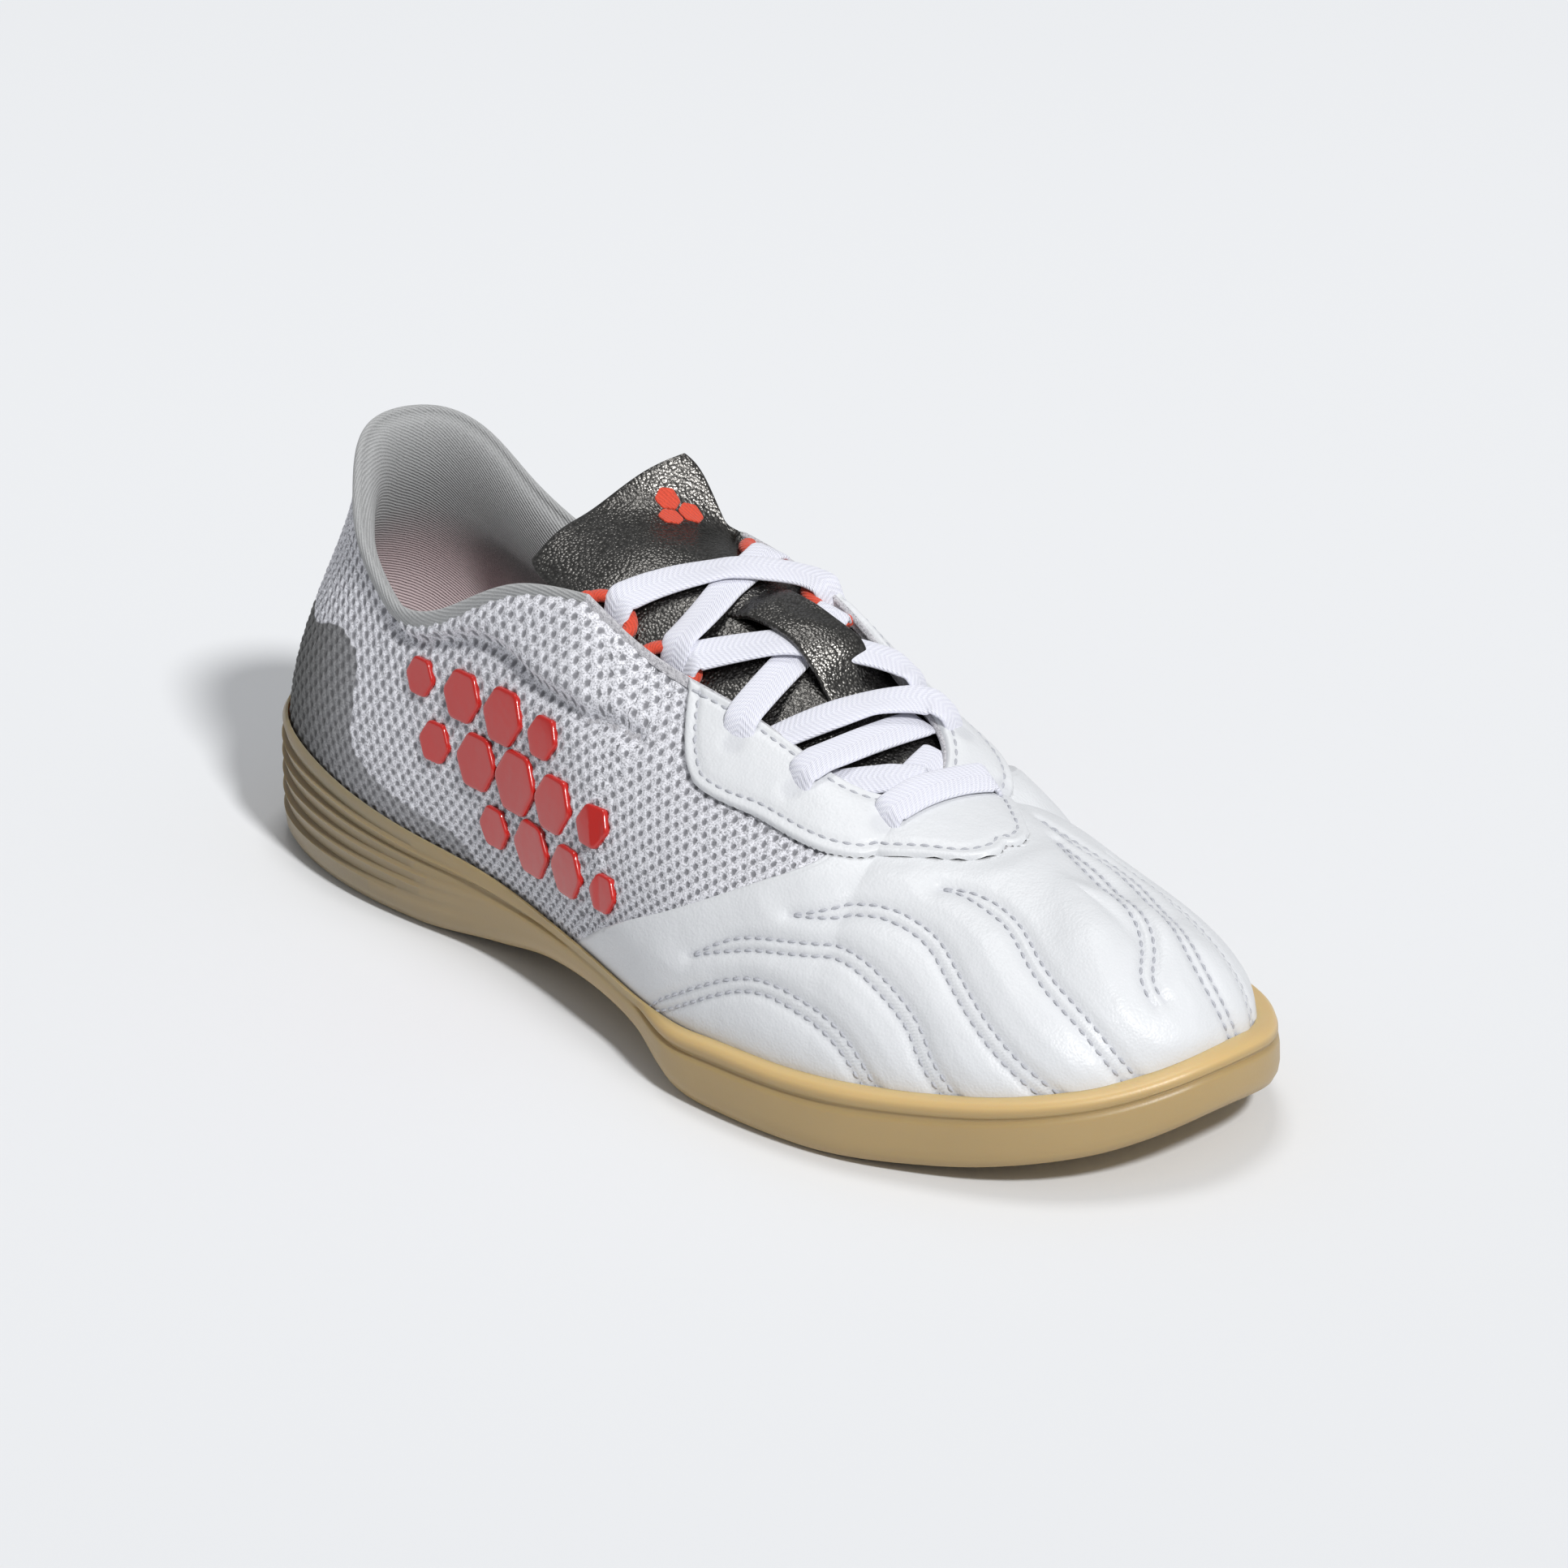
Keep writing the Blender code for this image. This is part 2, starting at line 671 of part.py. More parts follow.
def make_eyelet_cutter():
    """Cylinders through the eyestay and the upper at the eyelets."""
    bm = bmesh.new()
    for station, share in eyelet_places():
        at = Vector(last_points([station], [share])[0, 0])
        normal = Vector(last_normals([station], [share])[0, 0])
        turn = normal.to_track_quat("Z", "Y").to_matrix().to_4x4()
        turn.translation = at
        bmesh.ops.create_cone(
            bm,
            cap_ends=True,
            segments=EYELET_SEGMENTS,
            radius1=EYELET_DIAMETER / 2,
            radius2=EYELET_DIAMETER / 2,
            depth=EYELET_REACH,
            matrix=turn,
        )
    return add_object("eyelet_cutter", finished_mesh("eyelet_cutter", bm), None)


def padding_at(section, share):
    """How much of the collar's padding lies behind a place on the last."""
    around = 1 - np.clip((section - PAD_END) / PAD_FADE, 0, 1)
    upward = np.clip((share - PAD_LOW) / (PAD_HIGH - PAD_LOW), 0, 1)
    return around * upward * upward * (3 - 2 * upward)


def make_upper(finish):
    """The hollow upper: one wall, padded round the collar, open at collar, throat and underneath."""
    stations = stations_between(0, LOOP, UPPER_STEPS_PER_SECTION)[:-1]
    shares = np.linspace(0, 1, STEPS_UP + 1)
    points = last_points(stations, shares)
    made = add_object("upper", loft("upper", points, closed=True), finish)
    places = KDTree(points.shape[0] * points.shape[1])
    amounts = []
    for i, section in enumerate(sides_of(stations)[0]):
        for k, share in enumerate(shares):
            places.insert(points[i, k], len(amounts))
            amounts.append(float(padding_at(section, share)))
    places.balance()
    group = made.vertex_groups.new(name="padding")
    for vertex in made.data.vertices:
        group.add([vertex.index], amounts[places.find(vertex.co)[1]], "REPLACE")
    solidify(made, COLLAR_PAD, -1, "padding", UPPER_WALL / COLLAR_PAD)
    cut(made, make_eyelet_cutter())
    return made


def outward(station, shares):
    """Outward directions at one station, shared by both sides along the vamp's ridge."""
    normals = last_normals([station], shares)[0]
    if sides_of([station])[0][0] >= THROAT_END:
        normals[0] = (normals[0] + last_normals([LOOP - station], shares[:1])[0, 0]) / 2
    return normals


def make_eyestay(finish):
    """The leather facing round the throat's lower end, laid on the upper."""
    first, last = EYESTAY_OUTLINE[0].section, EYESTAY_OUTLINE[-1].section
    sections = np.append(first, stations_between(np.ceil(first * 3) / 3, last, UPPER_STEPS_PER_SECTION))
    edge = ease(sections, [row.section for row in EYESTAY_OUTLINE], [row.share for row in EYESTAY_OUTLINE])
    lateral = list(zip(sections, edge))
    rows = []
    for station, share in lateral + [(LOOP - section, share) for section, share in lateral[::-1]]:
        shares = np.linspace(1, share, EYESTAY_STEPS + 1)
        rows.append(last_points([station], shares)[0] + outward(station, shares) * OVERLAY_GAP)
    made = add_object("eyestay", loft("eyestay", rows), finish)
    solidify(made, EYESTAY_THICKNESS, -1)
    cut(made, bpy.data.objects["eyelet_cutter"])
    return made


def tongue_anchors(section):
    """Five places across the tongue at a section of the last, from its lateral to its medial side."""
    places = [row.section for row in TONGUE]
    margin = float(ease([section], places, [row.margin for row in TONGUE])[0])
    rise = float(ease([section], places, [row.rise for row in TONGUE])[0])
    shares = np.array([1, 1 - 0.35 * margin, 1 - margin])
    sides = []
    for station in (section, LOOP - section):
        sides.append(last_points([station], shares)[0] - outward(station, shares) * TONGUE_DEPTH)
    lateral, medial = sides
    middle = (lateral[0] + medial[0]) / 2 + np.array([0, 0, rise])
    return np.array([lateral[2], lateral[1], middle, medial[1], medial[2]])


def tongue_tip():
    """The same five places at the tongue's free end."""
    ends = top_line([THROAT_TOP, LOOP - THROAT_TOP])
    middle = ends.mean(axis=0)
    places = []
    for start, row, side in ((ends[0], TIP_LATERAL, 1), (middle, TIP_MIDDLE, 0), (ends[1], TIP_MEDIAL, -1)):
        places.append(start + np.array([-row.back, side * row.inward, row.up]) * TONGUE_LENGTH)
    swell = np.array([0, 0, 0.05 * TONGUE_LENGTH])
    between = [(places[0] + places[1]) / 2 + swell, (places[1] + places[2]) / 2 + swell]
    return np.array([places[0], between[0], places[1], between[1], places[2]])


def tongue_rows():
    """The tongue's outer surface, from under the vamp to its free end."""
    across = np.linspace(0, 4, TONGUE_STEPS_ACROSS + 1)
    rows = [spline(tongue_anchors(section), across) for section in np.arange(TONGUE[-1].section, THROAT_TOP, -0.4)]
    base, tip = tongue_anchors(THROAT_TOP), tongue_tip()
    for share in np.linspace(0, 1, TONGUE_STEPS_UP + 1):
        rows.append(spline(base + (tip - base) * share, across))
    return rows


def make_tongue(finish):
    """The tongue, from under the vamp to its free end beyond the collar."""
    made = add_object("tongue", loft("tongue", tongue_rows()), finish)
    solidify(made, TONGUE_THICKNESS, 1)
    return made


def surface_of(thing):
    """A tree that rays can meet, of an object as its modifiers leave it."""
    return BVHTree.FromObject(thing, bpy.context.evaluated_depsgraph_get())


def height_over(surfaces, x, y):
    """The highest surface above a place in plan, each with its own lift, or None."""
    heights = []
    for tree, lift in surfaces:
        hit = tree.ray_cast(Vector((x, y, 1.0)), Vector((0, 0, -1)))[0]
        if hit is not None:
            heights.append(hit.z + lift)
    return max(heights) if heights else None


def taut_line(surfaces, start, end):
    """A line in plan drawn tight over the surfaces under it."""
    shares = np.linspace(0, 1, LACE_STEPS + 1)
    plan = [start + (end - start) * share for share in shares]
    known = [(s, height_over(surfaces, *place)) for s, place in zip(shares, plan)]
    hull = []
    for place in [k for k in known if k[1] is not None]:
        while len(hull) > 1 and rises_over(hull[-2], place, hull[-1]):
            hull.pop()
        hull.append(place)
    heights = np.interp(shares, [h[0] for h in hull], [h[1] for h in hull])
    return np.column_stack([plan, heights])


def rises_over(first, last, middle):
    """Whether a line from first to last passes over middle."""
    along = (middle[0] - first[0]) / (last[0] - first[0])
    return first[1] + along * (last[1] - first[1]) >= middle[1]


def make_strap(name, surfaces, start, end, width, thickness, finish):
    """A flat strap drawn tight over surfaces between two places in plan."""
    start, end = np.asarray(start)[:2], np.asarray(end)[:2]
    run = (end - start) / np.linalg.norm(end - start)
    side = np.array([-run[1], run[0]]) * width / 2
    edges = [taut_line(surfaces, start + side * k, end + side * k) for k in (-1, 1)]
    made = add_object(name, loft(name, np.array(edges).transpose(1, 0, 2)), finish)
    solidify(made, thickness, 1)
    applied(made)
    return made


def lace_end(row, medial):
    """Where a lace ends at its hole or loop."""
    station = LOOP - row.section if medial else row.section
    place = last_points([station], [row.share])[0, 0]
    if row.kind == "loop":
        place = place + inward_at(row.section, medial) * LACE_LOOP_INSET
    return place


def lace_start(row, following, medial):
    """Where a lace comes out from under the throat's edge, a third of the way to the next row."""
    section = row.section + (following.section - row.section) * 0.35
    station = LOOP - section if medial else section
    return top_line([station])[0] + inward_at(section, medial) * LACE_START_INSET


def inward_at(section, medial):
    """The direction from one edge of the throat to the other."""
    lateral, opposite = top_line([section, LOOP - section])
    across = opposite - lateral
    across /= np.linalg.norm(across)
    return -across if medial else across


def make_laces(finish, ground, keeper):
    """The lace's lowest bar and its four crossings, each one a joined solid."""
    surfaces = [(surface_of(thing), LACE_LIFT) for thing in ground]
    first = LACE_ROWS[0]
    bar = make_strap(
        "lace_bar", surfaces, lace_end(first, False), lace_end(first, True), LACE_WIDTH, LACE_THICKNESS, finish
    )
    surfaces.append((surface_of(bar), LACE_LIFT))
    for count, (row, following) in enumerate(zip(LACE_ROWS, LACE_ROWS[1:]), start=1):
        over_keeper = [] if count == KEPT_CROSSING else [(surface_of(keeper), LACE_LIFT)]
        under = make_strap(
            f"lace_cross_{count}",
            surfaces + over_keeper,
            lace_start(row, following, count % 2 == 1),
            lace_end(following, count % 2 == 0),
            LACE_WIDTH,
            LACE_THICKNESS,
            finish,
        )
        over = make_strap(
            f"lace_over_{count}",
            surfaces + over_keeper + [(surface_of(under), -LACE_JOIN)],
            lace_start(row, following, count % 2 == 0),
            lace_end(following, count % 2 == 1),
            LACE_WIDTH,
            LACE_THICKNESS,
            finish,
        )
        cut(under, over, "UNION")
        surfaces.append((surface_of(under), LACE_LIFT))


def make_keeper(finish, tongue):
    """The strap on the tongue's middle that holds the lace."""
    middle = [spline(tongue_anchors(end.section), [2.0 + end.past_middle])[0] for end in KEEPER_ENDS]
    surfaces = [(surface_of(tongue), CLEARANCE)]
    start, end = middle
    run = (end - start)[:2] / np.linalg.norm((end - start)[:2])
    side = np.array([-run[1], run[0]]) * KEEPER_WIDTH / 2
    shares = np.linspace(0, 1, KEEPER_STEPS + 1)
    rise = KEEPER_RISE * np.clip(np.minimum(shares, 1 - shares) / KEEPER_FOOT - 0.4, 0, 1)
    rows = []
    for share, lift in zip(shares, rise):
        row = []
        for k in np.linspace(-1, 1, 5):
            x, y = start[:2] + (end - start)[:2] * share + side * k
            row.append((x, y, height_over(surfaces, x, y) + lift))
        rows.append(row)
    made = add_object("lace_keeper", loft("lace_keeper", rows), finish)
    solidify(made, KEEPER_THICKNESS, 1)
    return made


def make_loop(name, section, medial, tongue, finish):
    """A cord loop at the throat's edge, lying over the tongue."""
    station = LOOP - section if medial else section
    edge = top_line([station])[0] - last_normals([station], [1.0])[0, 0] * UPPER_WALL / 2
    inward = inward_at(section, medial)
    along = top_line([station + 0.05])[0] - top_line([station - 0.05])[0]
    along /= np.linalg.norm(along)
    gap = LOOP_DIAMETER / 2 + CLEARANCE
    curve = bpy.data.curves.new(name, "CURVE")
    curve.dimensions = "3D"
    curve.bevel_depth = LOOP_DIAMETER / 2
    curve.bevel_resolution = 1
    curve.use_fill_caps = True
    line = curve.splines.new("POLY")
    angles = np.linspace(-np.pi / 2, np.pi / 2, LOOP_STEPS + 1)
    points = [edge + along * np.sin(a) * LOOP_SPREAD / 2 + inward * (gap + LOOP_REACH * np.cos(a)) for a in angles]
    surfaces = [(surface_of(tongue), gap + CLEARANCE)]
    for point in points:
        point[2] = max(point[2], height_over(surfaces, point[0], point[1]) or 0)
    line.points.add(len(points) - 1)
    for place, point in zip(line.points, points):
        place.co = (*point, 1.0)
    return add_object(name, curve, finish)


def make_loops(tongue, finish):
    """The cord loops that stand in for eyelets at the top of the throat."""
    made = []
    for count, row in enumerate([row for row in LACE_ROWS if row.kind == "loop"], start=1):
        made.append(make_loop(f"lace_loop_lateral_{count}", row.section, False, tongue, finish))
        made.append(make_loop(f"lace_loop_medial_{count}", row.section, True, tongue, finish))
    return made


def recentre(things):
    """Hangs everything from an empty that puts the shoe's box over the origin."""
    graph = bpy.context.evaluated_depsgraph_get()
    corners = []
    for thing in things:
        mesh = thing.evaluated_get(graph).to_mesh()
        corners += [thing.matrix_world @ vertex.co for vertex in mesh.vertices]
    low, high = np.min(corners, axis=0), np.max(corners, axis=0)
    hub = bpy.data.objects.new("indoor_soccer_shoe_frame", None)
    collection("indoor_soccer_shoe").objects.link(hub)
    hub.location = (-(low[0] + high[0]) / 2, -(low[1] + high[1]) / 2, -low[2])
    for thing in bpy.data.objects:
        if thing is not hub:
            thing.parent = hub


def main():
    """Builds the shoe."""
    remove_objects()
    gum = material("gum_rubber", (0.62, 0.46, 0.22), 0.45)
    white_leather = material("white_leather", (0.80, 0.81, 0.83), 0.45)
    white_mesh = material("white_mesh", (0.70, 0.71, 0.74), 0.80)
    dark_leather = material("dark_metallic_leather", (0.07, 0.07, 0.07), 0.35, 0.5)
    white_lace = material("white_lace", (0.78, 0.78, 0.84), 0.80)
    orange_cord = material("orange_cord", (0.85, 0.12, 0.04), 0.60)
    grey_foam = material("grey_foam", (0.35, 0.35, 0.36), 0.90)
    make_outsole(gum)
    make_insole(grey_foam)
    upper = make_upper(white_mesh)
    eyestay = make_eyestay(white_leather)
    tongue = make_tongue(dark_leather)
    keeper = make_keeper(dark_leather, tongue)
    loops = make_loops(tongue, orange_cord)
    make_laces(white_lace, [upper, eyestay, tongue, *loops], keeper)
    recentre(list(collection("indoor_soccer_shoe").objects))


if __name__ == "__main__":
    main()
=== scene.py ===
"""Indoor soccer shoe: its detailed surfaces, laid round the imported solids.

The upper's pieces are read from the same last as the solids. A place on it is a station, counted
round the foot from the heel's back along the lateral side, and a share of the way from the feather
line, inside the sole's cup, up to the collar, the throat's edge or the vamp's ridge.
"""

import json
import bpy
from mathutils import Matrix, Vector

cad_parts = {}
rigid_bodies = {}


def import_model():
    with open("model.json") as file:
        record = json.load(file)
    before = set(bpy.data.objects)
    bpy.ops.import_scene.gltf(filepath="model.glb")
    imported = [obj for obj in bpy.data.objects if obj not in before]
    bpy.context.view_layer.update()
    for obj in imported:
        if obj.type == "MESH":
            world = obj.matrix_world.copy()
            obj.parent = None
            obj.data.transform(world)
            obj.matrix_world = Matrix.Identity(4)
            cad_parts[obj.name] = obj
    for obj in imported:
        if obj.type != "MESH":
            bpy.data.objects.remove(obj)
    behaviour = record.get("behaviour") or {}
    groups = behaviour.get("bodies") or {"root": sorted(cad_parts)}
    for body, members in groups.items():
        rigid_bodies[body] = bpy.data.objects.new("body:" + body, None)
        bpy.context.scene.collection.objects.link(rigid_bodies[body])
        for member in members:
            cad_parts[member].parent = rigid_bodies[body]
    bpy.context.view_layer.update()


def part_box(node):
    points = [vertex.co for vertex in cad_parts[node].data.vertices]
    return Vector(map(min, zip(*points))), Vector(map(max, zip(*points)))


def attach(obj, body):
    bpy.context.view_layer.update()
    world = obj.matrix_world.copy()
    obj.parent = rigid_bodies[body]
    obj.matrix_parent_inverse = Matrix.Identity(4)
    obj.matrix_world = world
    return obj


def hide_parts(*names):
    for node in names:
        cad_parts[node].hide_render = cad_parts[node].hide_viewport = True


bl_info = {
    "name": "Indoor Soccer Shoe",
    "version": (1, 0, 0),
    "blender": (4, 5, 0),
    "location": "3D View > Sidebar > Shoe",
    "description": "Builds the visible surfaces of an indoor soccer shoe round its packed solids",
    "category": "Mesh",
}

import bmesh
import bpy
import numpy as np
from mathutils import Matrix, Vector
from mathutils.bvhtree import BVHTree
from mathutils.kdtree import KDTree

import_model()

# The last's sizes in metres, as in the solids
LAST_LENGTH = 0.2342
LAST_BALL = 0.0825
LAST_HEEL = 0.0610
ZONES = {"heel": (LAST_HEEL, 0.0820), "instep": (LAST_BALL, 0.0720), "toe": (LAST_BALL, 0.0480)}
HEEL_WALL, SIDE_WALL, TOE_WALL = 0.0040, 0.0040, 0.0048
UPPER_WALL = 0.0018
COLLAR_PAD = 0.0050
COLLAR_SWELL = 0.0022
INSOLE_EASE = 0.0009
INSOLE_THICKNESS = 0.0040
INSOLE_RIM, INSOLE_ROUNDING = 0.0016, 0.0016
TONGUE_LENGTH = 0.0300
TONGUE_DEPTH = 0.0027
KEEPER_WIDTH, KEEPER_THICKNESS = 0.0115, 0.0013
KEEPER_ARCH, OVER_LACE = 0.0022, 0.0009
CORD_WIDTH, CORD_THICKNESS = 0.0030, 0.0024
THREAD_WIDTH, THREAD_THICKNESS = 0.00055, 0.00046
STITCH_LIFT, STITCH_ARCH, STITCH_SUNK = 0.0001, 0.0004, 0.00035
PUFF_HEIGHT = 0.0009
CLEARANCE = 0.0003
LINE_STEP = 0.0004

# Zone, along, lateral and medial half width, the same for the top line, its two heights, the four forms
LAST = [
    ("heel", 0.000, 0.000, 0.000, 0.064, 0.000, 0.000, 1.010, 1.010, 0.45, 0.060, 0.03, 0.29),
    ("heel", 0.010, 0.200, 0.200, 0.078, 0.152, 0.184, 0.985, 0.995, 0.45, 0.059, 0.03, 0.29),
    ("heel", 0.037, 0.352, 0.350, 0.106, 0.266, 0.300, 0.920, 0.925, 0.44, 0.058, 0.03, 0.29),
    ("heel", 0.085, 0.452, 0.440, 0.135, 0.346, 0.366, 0.838, 0.820, 0.43, 0.050, 0.03, 0.29),
    ("heel", 0.159, 0.512, 0.470, 0.175, 0.393, 0.408, 0.757, 0.740, 0.42, 0.048, 0.04, 0.30),
    ("heel", 0.243, 0.515, 0.450, 0.214, 0.422, 0.428, 0.731, 0.712, 0.40, 0.048, 0.06, 0.30),
    ("heel", 0.328, 0.502, 0.420, 0.268, 0.420, 0.422, 0.785, 0.758, 0.39, 0.048, 0.08, 0.30),
    ("instep", 0.408, 0.398, 0.300, 0.334, 0.276, 0.298, 1.015, 0.972, 0.41, 0.052, 0.12, 0.25),
    ("instep", 0.484, 0.444, 0.320, 0.405, 0.222, 0.256, 1.045, 1.050, 0.43, 0.052, 0.22, 0.16),
    ("instep", 0.550, 0.486, 0.365, 0.478, 0.200, 0.240, 0.935, 1.030, 0.43, 0.053, 0.28, 0.14),
    ("instep", 0.611, 0.517, 0.420, 0.553, 0.162, 0.220, 0.870, 0.960, 0.42, 0.050, 0.32, 0.12),
    ("instep", 0.666, 0.525, 0.464, 0.620, 0.138, 0.190, 0.800, 0.860, 0.43, 0.048, 0.36, 0.10),
    ("instep", 0.715, 0.521, 0.488, 0.676, 0.105, 0.150, 0.735, 0.765, 0.46, 0.040, 0.42, 0.05),
    ("instep", 0.762, 0.505, 0.497, 0.703, -0.015, 0.015, 0.705, 0.705, 0.50, 0.034, 0.49, 0.00),
    ("toe", 0.811, 0.470, 0.489, 0.732, -0.025, 0.025, 1.025, 1.025, 0.52, 0.028, 0.51, 0.00),
    ("toe", 0.867, 0.404, 0.452, 0.769, -0.035, 0.035, 0.978, 0.978, 0.55, 0.026, 0.53, 0.00),
    ("toe", 0.919, 0.326, 0.399, 0.806, -0.045, 0.045, 0.935, 0.935, 0.58, 0.025, 0.54, 0.00),
    ("toe", 0.962, 0.214, 0.314, 0.832, -0.050, 0.050, 0.905, 0.905, 0.60, 0.025, 0.55, 0.00),
    ("toe", 0.991, 0.070, 0.205, 0.850, -0.055, 0.055, 0.895, 0.895, 0.60, 0.026, 0.56, 0.00),
    ("toe", 1.000, -0.060, 0.060, 0.857, -0.057, 0.057, 0.890, 0.890, 0.60, 0.027, 0.56, 0.00),
]
THROAT_TOP, THROAT_END, TOE_TIP = 8, 13, len(LAST) - 1

# Section, then heights of ground, floor and lip, share of the wall and share of the heel's ribs
SOLE = [
    (0.0, 0.0004, 0.0130, 0.0275, 1.00, 1.0),
    (3.0, 0.0000, 0.0125, 0.0248, 0.95, 1.0),
    (5.0, 0.0000, 0.0120, 0.0195, 0.85, 0.6),
    (6.2, 0.0030, 0.0115, 0.0172, 0.70, 0.1),
    (7.2, 0.0070, 0.0110, 0.0158, 0.50, 0.0),
    (8.2, 0.0080, 0.0105, 0.0150, 0.40, 0.0),
    (9.3, 0.0060, 0.0095, 0.0138, 0.45, 0.0),
    (10.2, 0.0012, 0.0085, 0.0135, 0.95, 0.0),
    (11.0, 0.0000, 0.0080, 0.0142, 1.00, 0.0),
    (13.0, 0.0000, 0.0075, 0.0147, 1.00, 0.0),
    (15.0, 0.0018, 0.0082, 0.0160, 1.00, 0.0),
    (17.0, 0.0062, 0.0112, 0.0190, 1.00, 0.0),
    (19.0, 0.0110, 0.0145, 0.0224, 1.00, 0.0),
]
# Share of the sole wall's height and inset, at the heel and then at the forefoot
SOLE_WALL = [
    (0.00, 0.0034, 0.00, 0.0034),
    (0.04, 0.0015, 0.08, 0.0012),
    (0.12, 0.0004, 0.22, 0.0003),
    (0.26, 0.0000, 0.36, 0.0000),
    (0.28, 0.0010, 0.46, 0.0000),
    (0.41, 0.0000, 0.54, 0.0000),
    (0.43, 0.0010, 0.60, 0.0000),
    (0.55, 0.0001, 0.66, 0.0001),
    (0.57, 0.0011, 0.71, 0.0002),
    (0.69, 0.0002, 0.75, 0.0009),
    (0.71, 0.0012, 0.79, 0.0009),
    (0.82, 0.0003, 0.83, 0.0003),
    (0.84, 0.0013, 0.88, 0.0003),
    (0.95, 0.0006, 0.95, 0.0006),
    (1.00, 0.0014, 1.00, 0.0014),
]
LOWEST_BACKED_SHARE = 0.2
LEAST_WALL = 0.0009
HEEL_SLIMMING = 0.0013

# The tread's grooves: their pitch, depth, the length and swing of their zigzag, and the rim's distance
TREAD_PITCH, TREAD_DEPTH = 0.0070, 0.0016
ZIGZAG_PITCH, ZIGZAG_SWING = 0.0140, 0.0084
TREAD_RIM = 0.0050

# Edges on the last: share of the way up, then station, where the leather vamp meets the mesh
VAMP_EDGE = [
    (0.000, 7.55), (0.025, 7.60), (0.100, 8.10), (0.213, 8.90), (0.388, 10.20), (0.537, 11.20),
    (0.675, 12.00), (0.750, 12.20), (1.000, 12.30),
]
# How far the mesh runs on under the vamp, in stations
VAMP_OVERLAP = 0.35
# Station, then share of the way up, of the heel print's edge
PRINT_EDGE = [
    (0.0, 0.50), (1.5, 0.49), (2.3, 0.52), (2.8, 0.60), (3.2, 0.645), (3.5, 0.645), (3.75, 0.59),
    (3.88, 0.475), (3.98, 0.36), (4.2, 0.30), (4.6, 0.25), (5.1, 0.213), (5.8, 0.15), (6.2, 0.0),
]
# The same for the crease below the collar
COLLAR_CREASE = [
    (4.3, 0.93), (4.9, 0.90), (6.0, 0.888), (6.8, 0.80), (7.4, 0.675), (8.1, 0.625), (8.5, 0.663),
    (8.9, 0.688),
]
# Stations and shares of the eyestay's outer edge, from its top on the throat to the ridge
EYESTAY_TOP = 9.42
EYESTAY_OUTER = [
    (EYESTAY_TOP, 1.000), (9.46, 0.93), (9.50, 0.85), (9.60, 0.75), (9.75, 0.69), (10.0, 0.667),
    (10.5, 0.680), (11.0, 0.700), (12.0, 0.713), (13.0, 0.735), (14.0, 0.800), (14.8, 0.868),
    (15.24, 0.932), (15.40, 0.968), (15.43, 1.0),
]
# Distances of its seams from its outer edge and from the throat's
OUTER_SEAM, THROAT_SEAM = 0.0023, 0.0018
# Stations and shares of the lace holes from the lowest up, then the sections of the cord loops
LACE_HOLES = {
    "lateral": [(12.70, 0.850), (11.20, 0.840), (10.20, 0.845)],
    "medial": [(12.75, 0.770), (11.75, 0.880), (11.10, 0.915)],
}
LOOP_SECTIONS = {"lateral": (9.10, 8.22), "medial": (9.55, 8.50)}
# Half of a cord loop's length along the throat's edge, and how far it stands over the tongue
CORD_HALF, CORD_REACH = 0.0056, 0.0032

# Centre lines of the vamp's double seams, as stations and shares
SEAMS = [
    [(9.3, .013), (10.4, .163), (11.6, .288), (12.6, .288), (13.3, .25), (13.8, .188), (14.3, .06)],
    [(10.4, .275), (11.4, .388), (12.5, .438), (13.3, .45), (14.0, .413), (14.6, .325), (14.9, .213),
     (15.4, .07)],
    [(12.0, .513), (12.9, .562), (13.7, .6), (14.5, .588), (15.0, .513), (15.5, .388), (16.0, .263),
     (16.8, .08)],
    [(14.5, .738), (15.1, .763), (15.9, .725), (16.4, .6), (17.0, .413), (17.4, .238), (17.8, .07)],
    [(23.3, .775), (22.1, .8), (20.6, .79), (19.6, .72), (18.5, .55), (18.4, .4)],
    [(24.3, .713), (23.3, .688), (22.7, .66), (21.6, .65), (20.3, .588), (19.7, .438), (19.6, .25),
     (19.7, .07)],
    [(23.6, .56), (22.6, .54), (21.7, .47), (21.1, .4), (20.6, .263), (20.3, .07)],
    [(25.6, .40), (24.4, .44), (23.4, .40), (22.7, .31), (22.2, .18), (21.9, .07)],
    [(27.4, .26), (26.3, .35), (25.2, .33), (24.5, .25), (24.0, .15), (23.6, .07)],
]

# Sections, then how far the tongue's sides run under the upper and how high its middle stands
TONGUE = [
    (8.0, 0.08, 0.0045), (9.0, 0.11, 0.0040), (10.0, 0.13, 0.0034), (11.0, 0.14, 0.0024),
    (12.0, 0.15, 0.0008), (13.0, 0.17, 0.0000), (14.2, 0.14, 0.0000),
]
# How far back, inward and up the tip's lateral corner, middle and medial corner lie, in tongue lengths
TONGUE_TIP = [(0.64, 0.045, -0.01), (0.70, 0.000, 0.17), (0.50, -0.030, 0.42)]

# The keeper's ends: section, and how far past the tongue's middle in quarters of its width
KEEPER_ENDS = [(9.05, 0.22), (10.95, 0.30)]

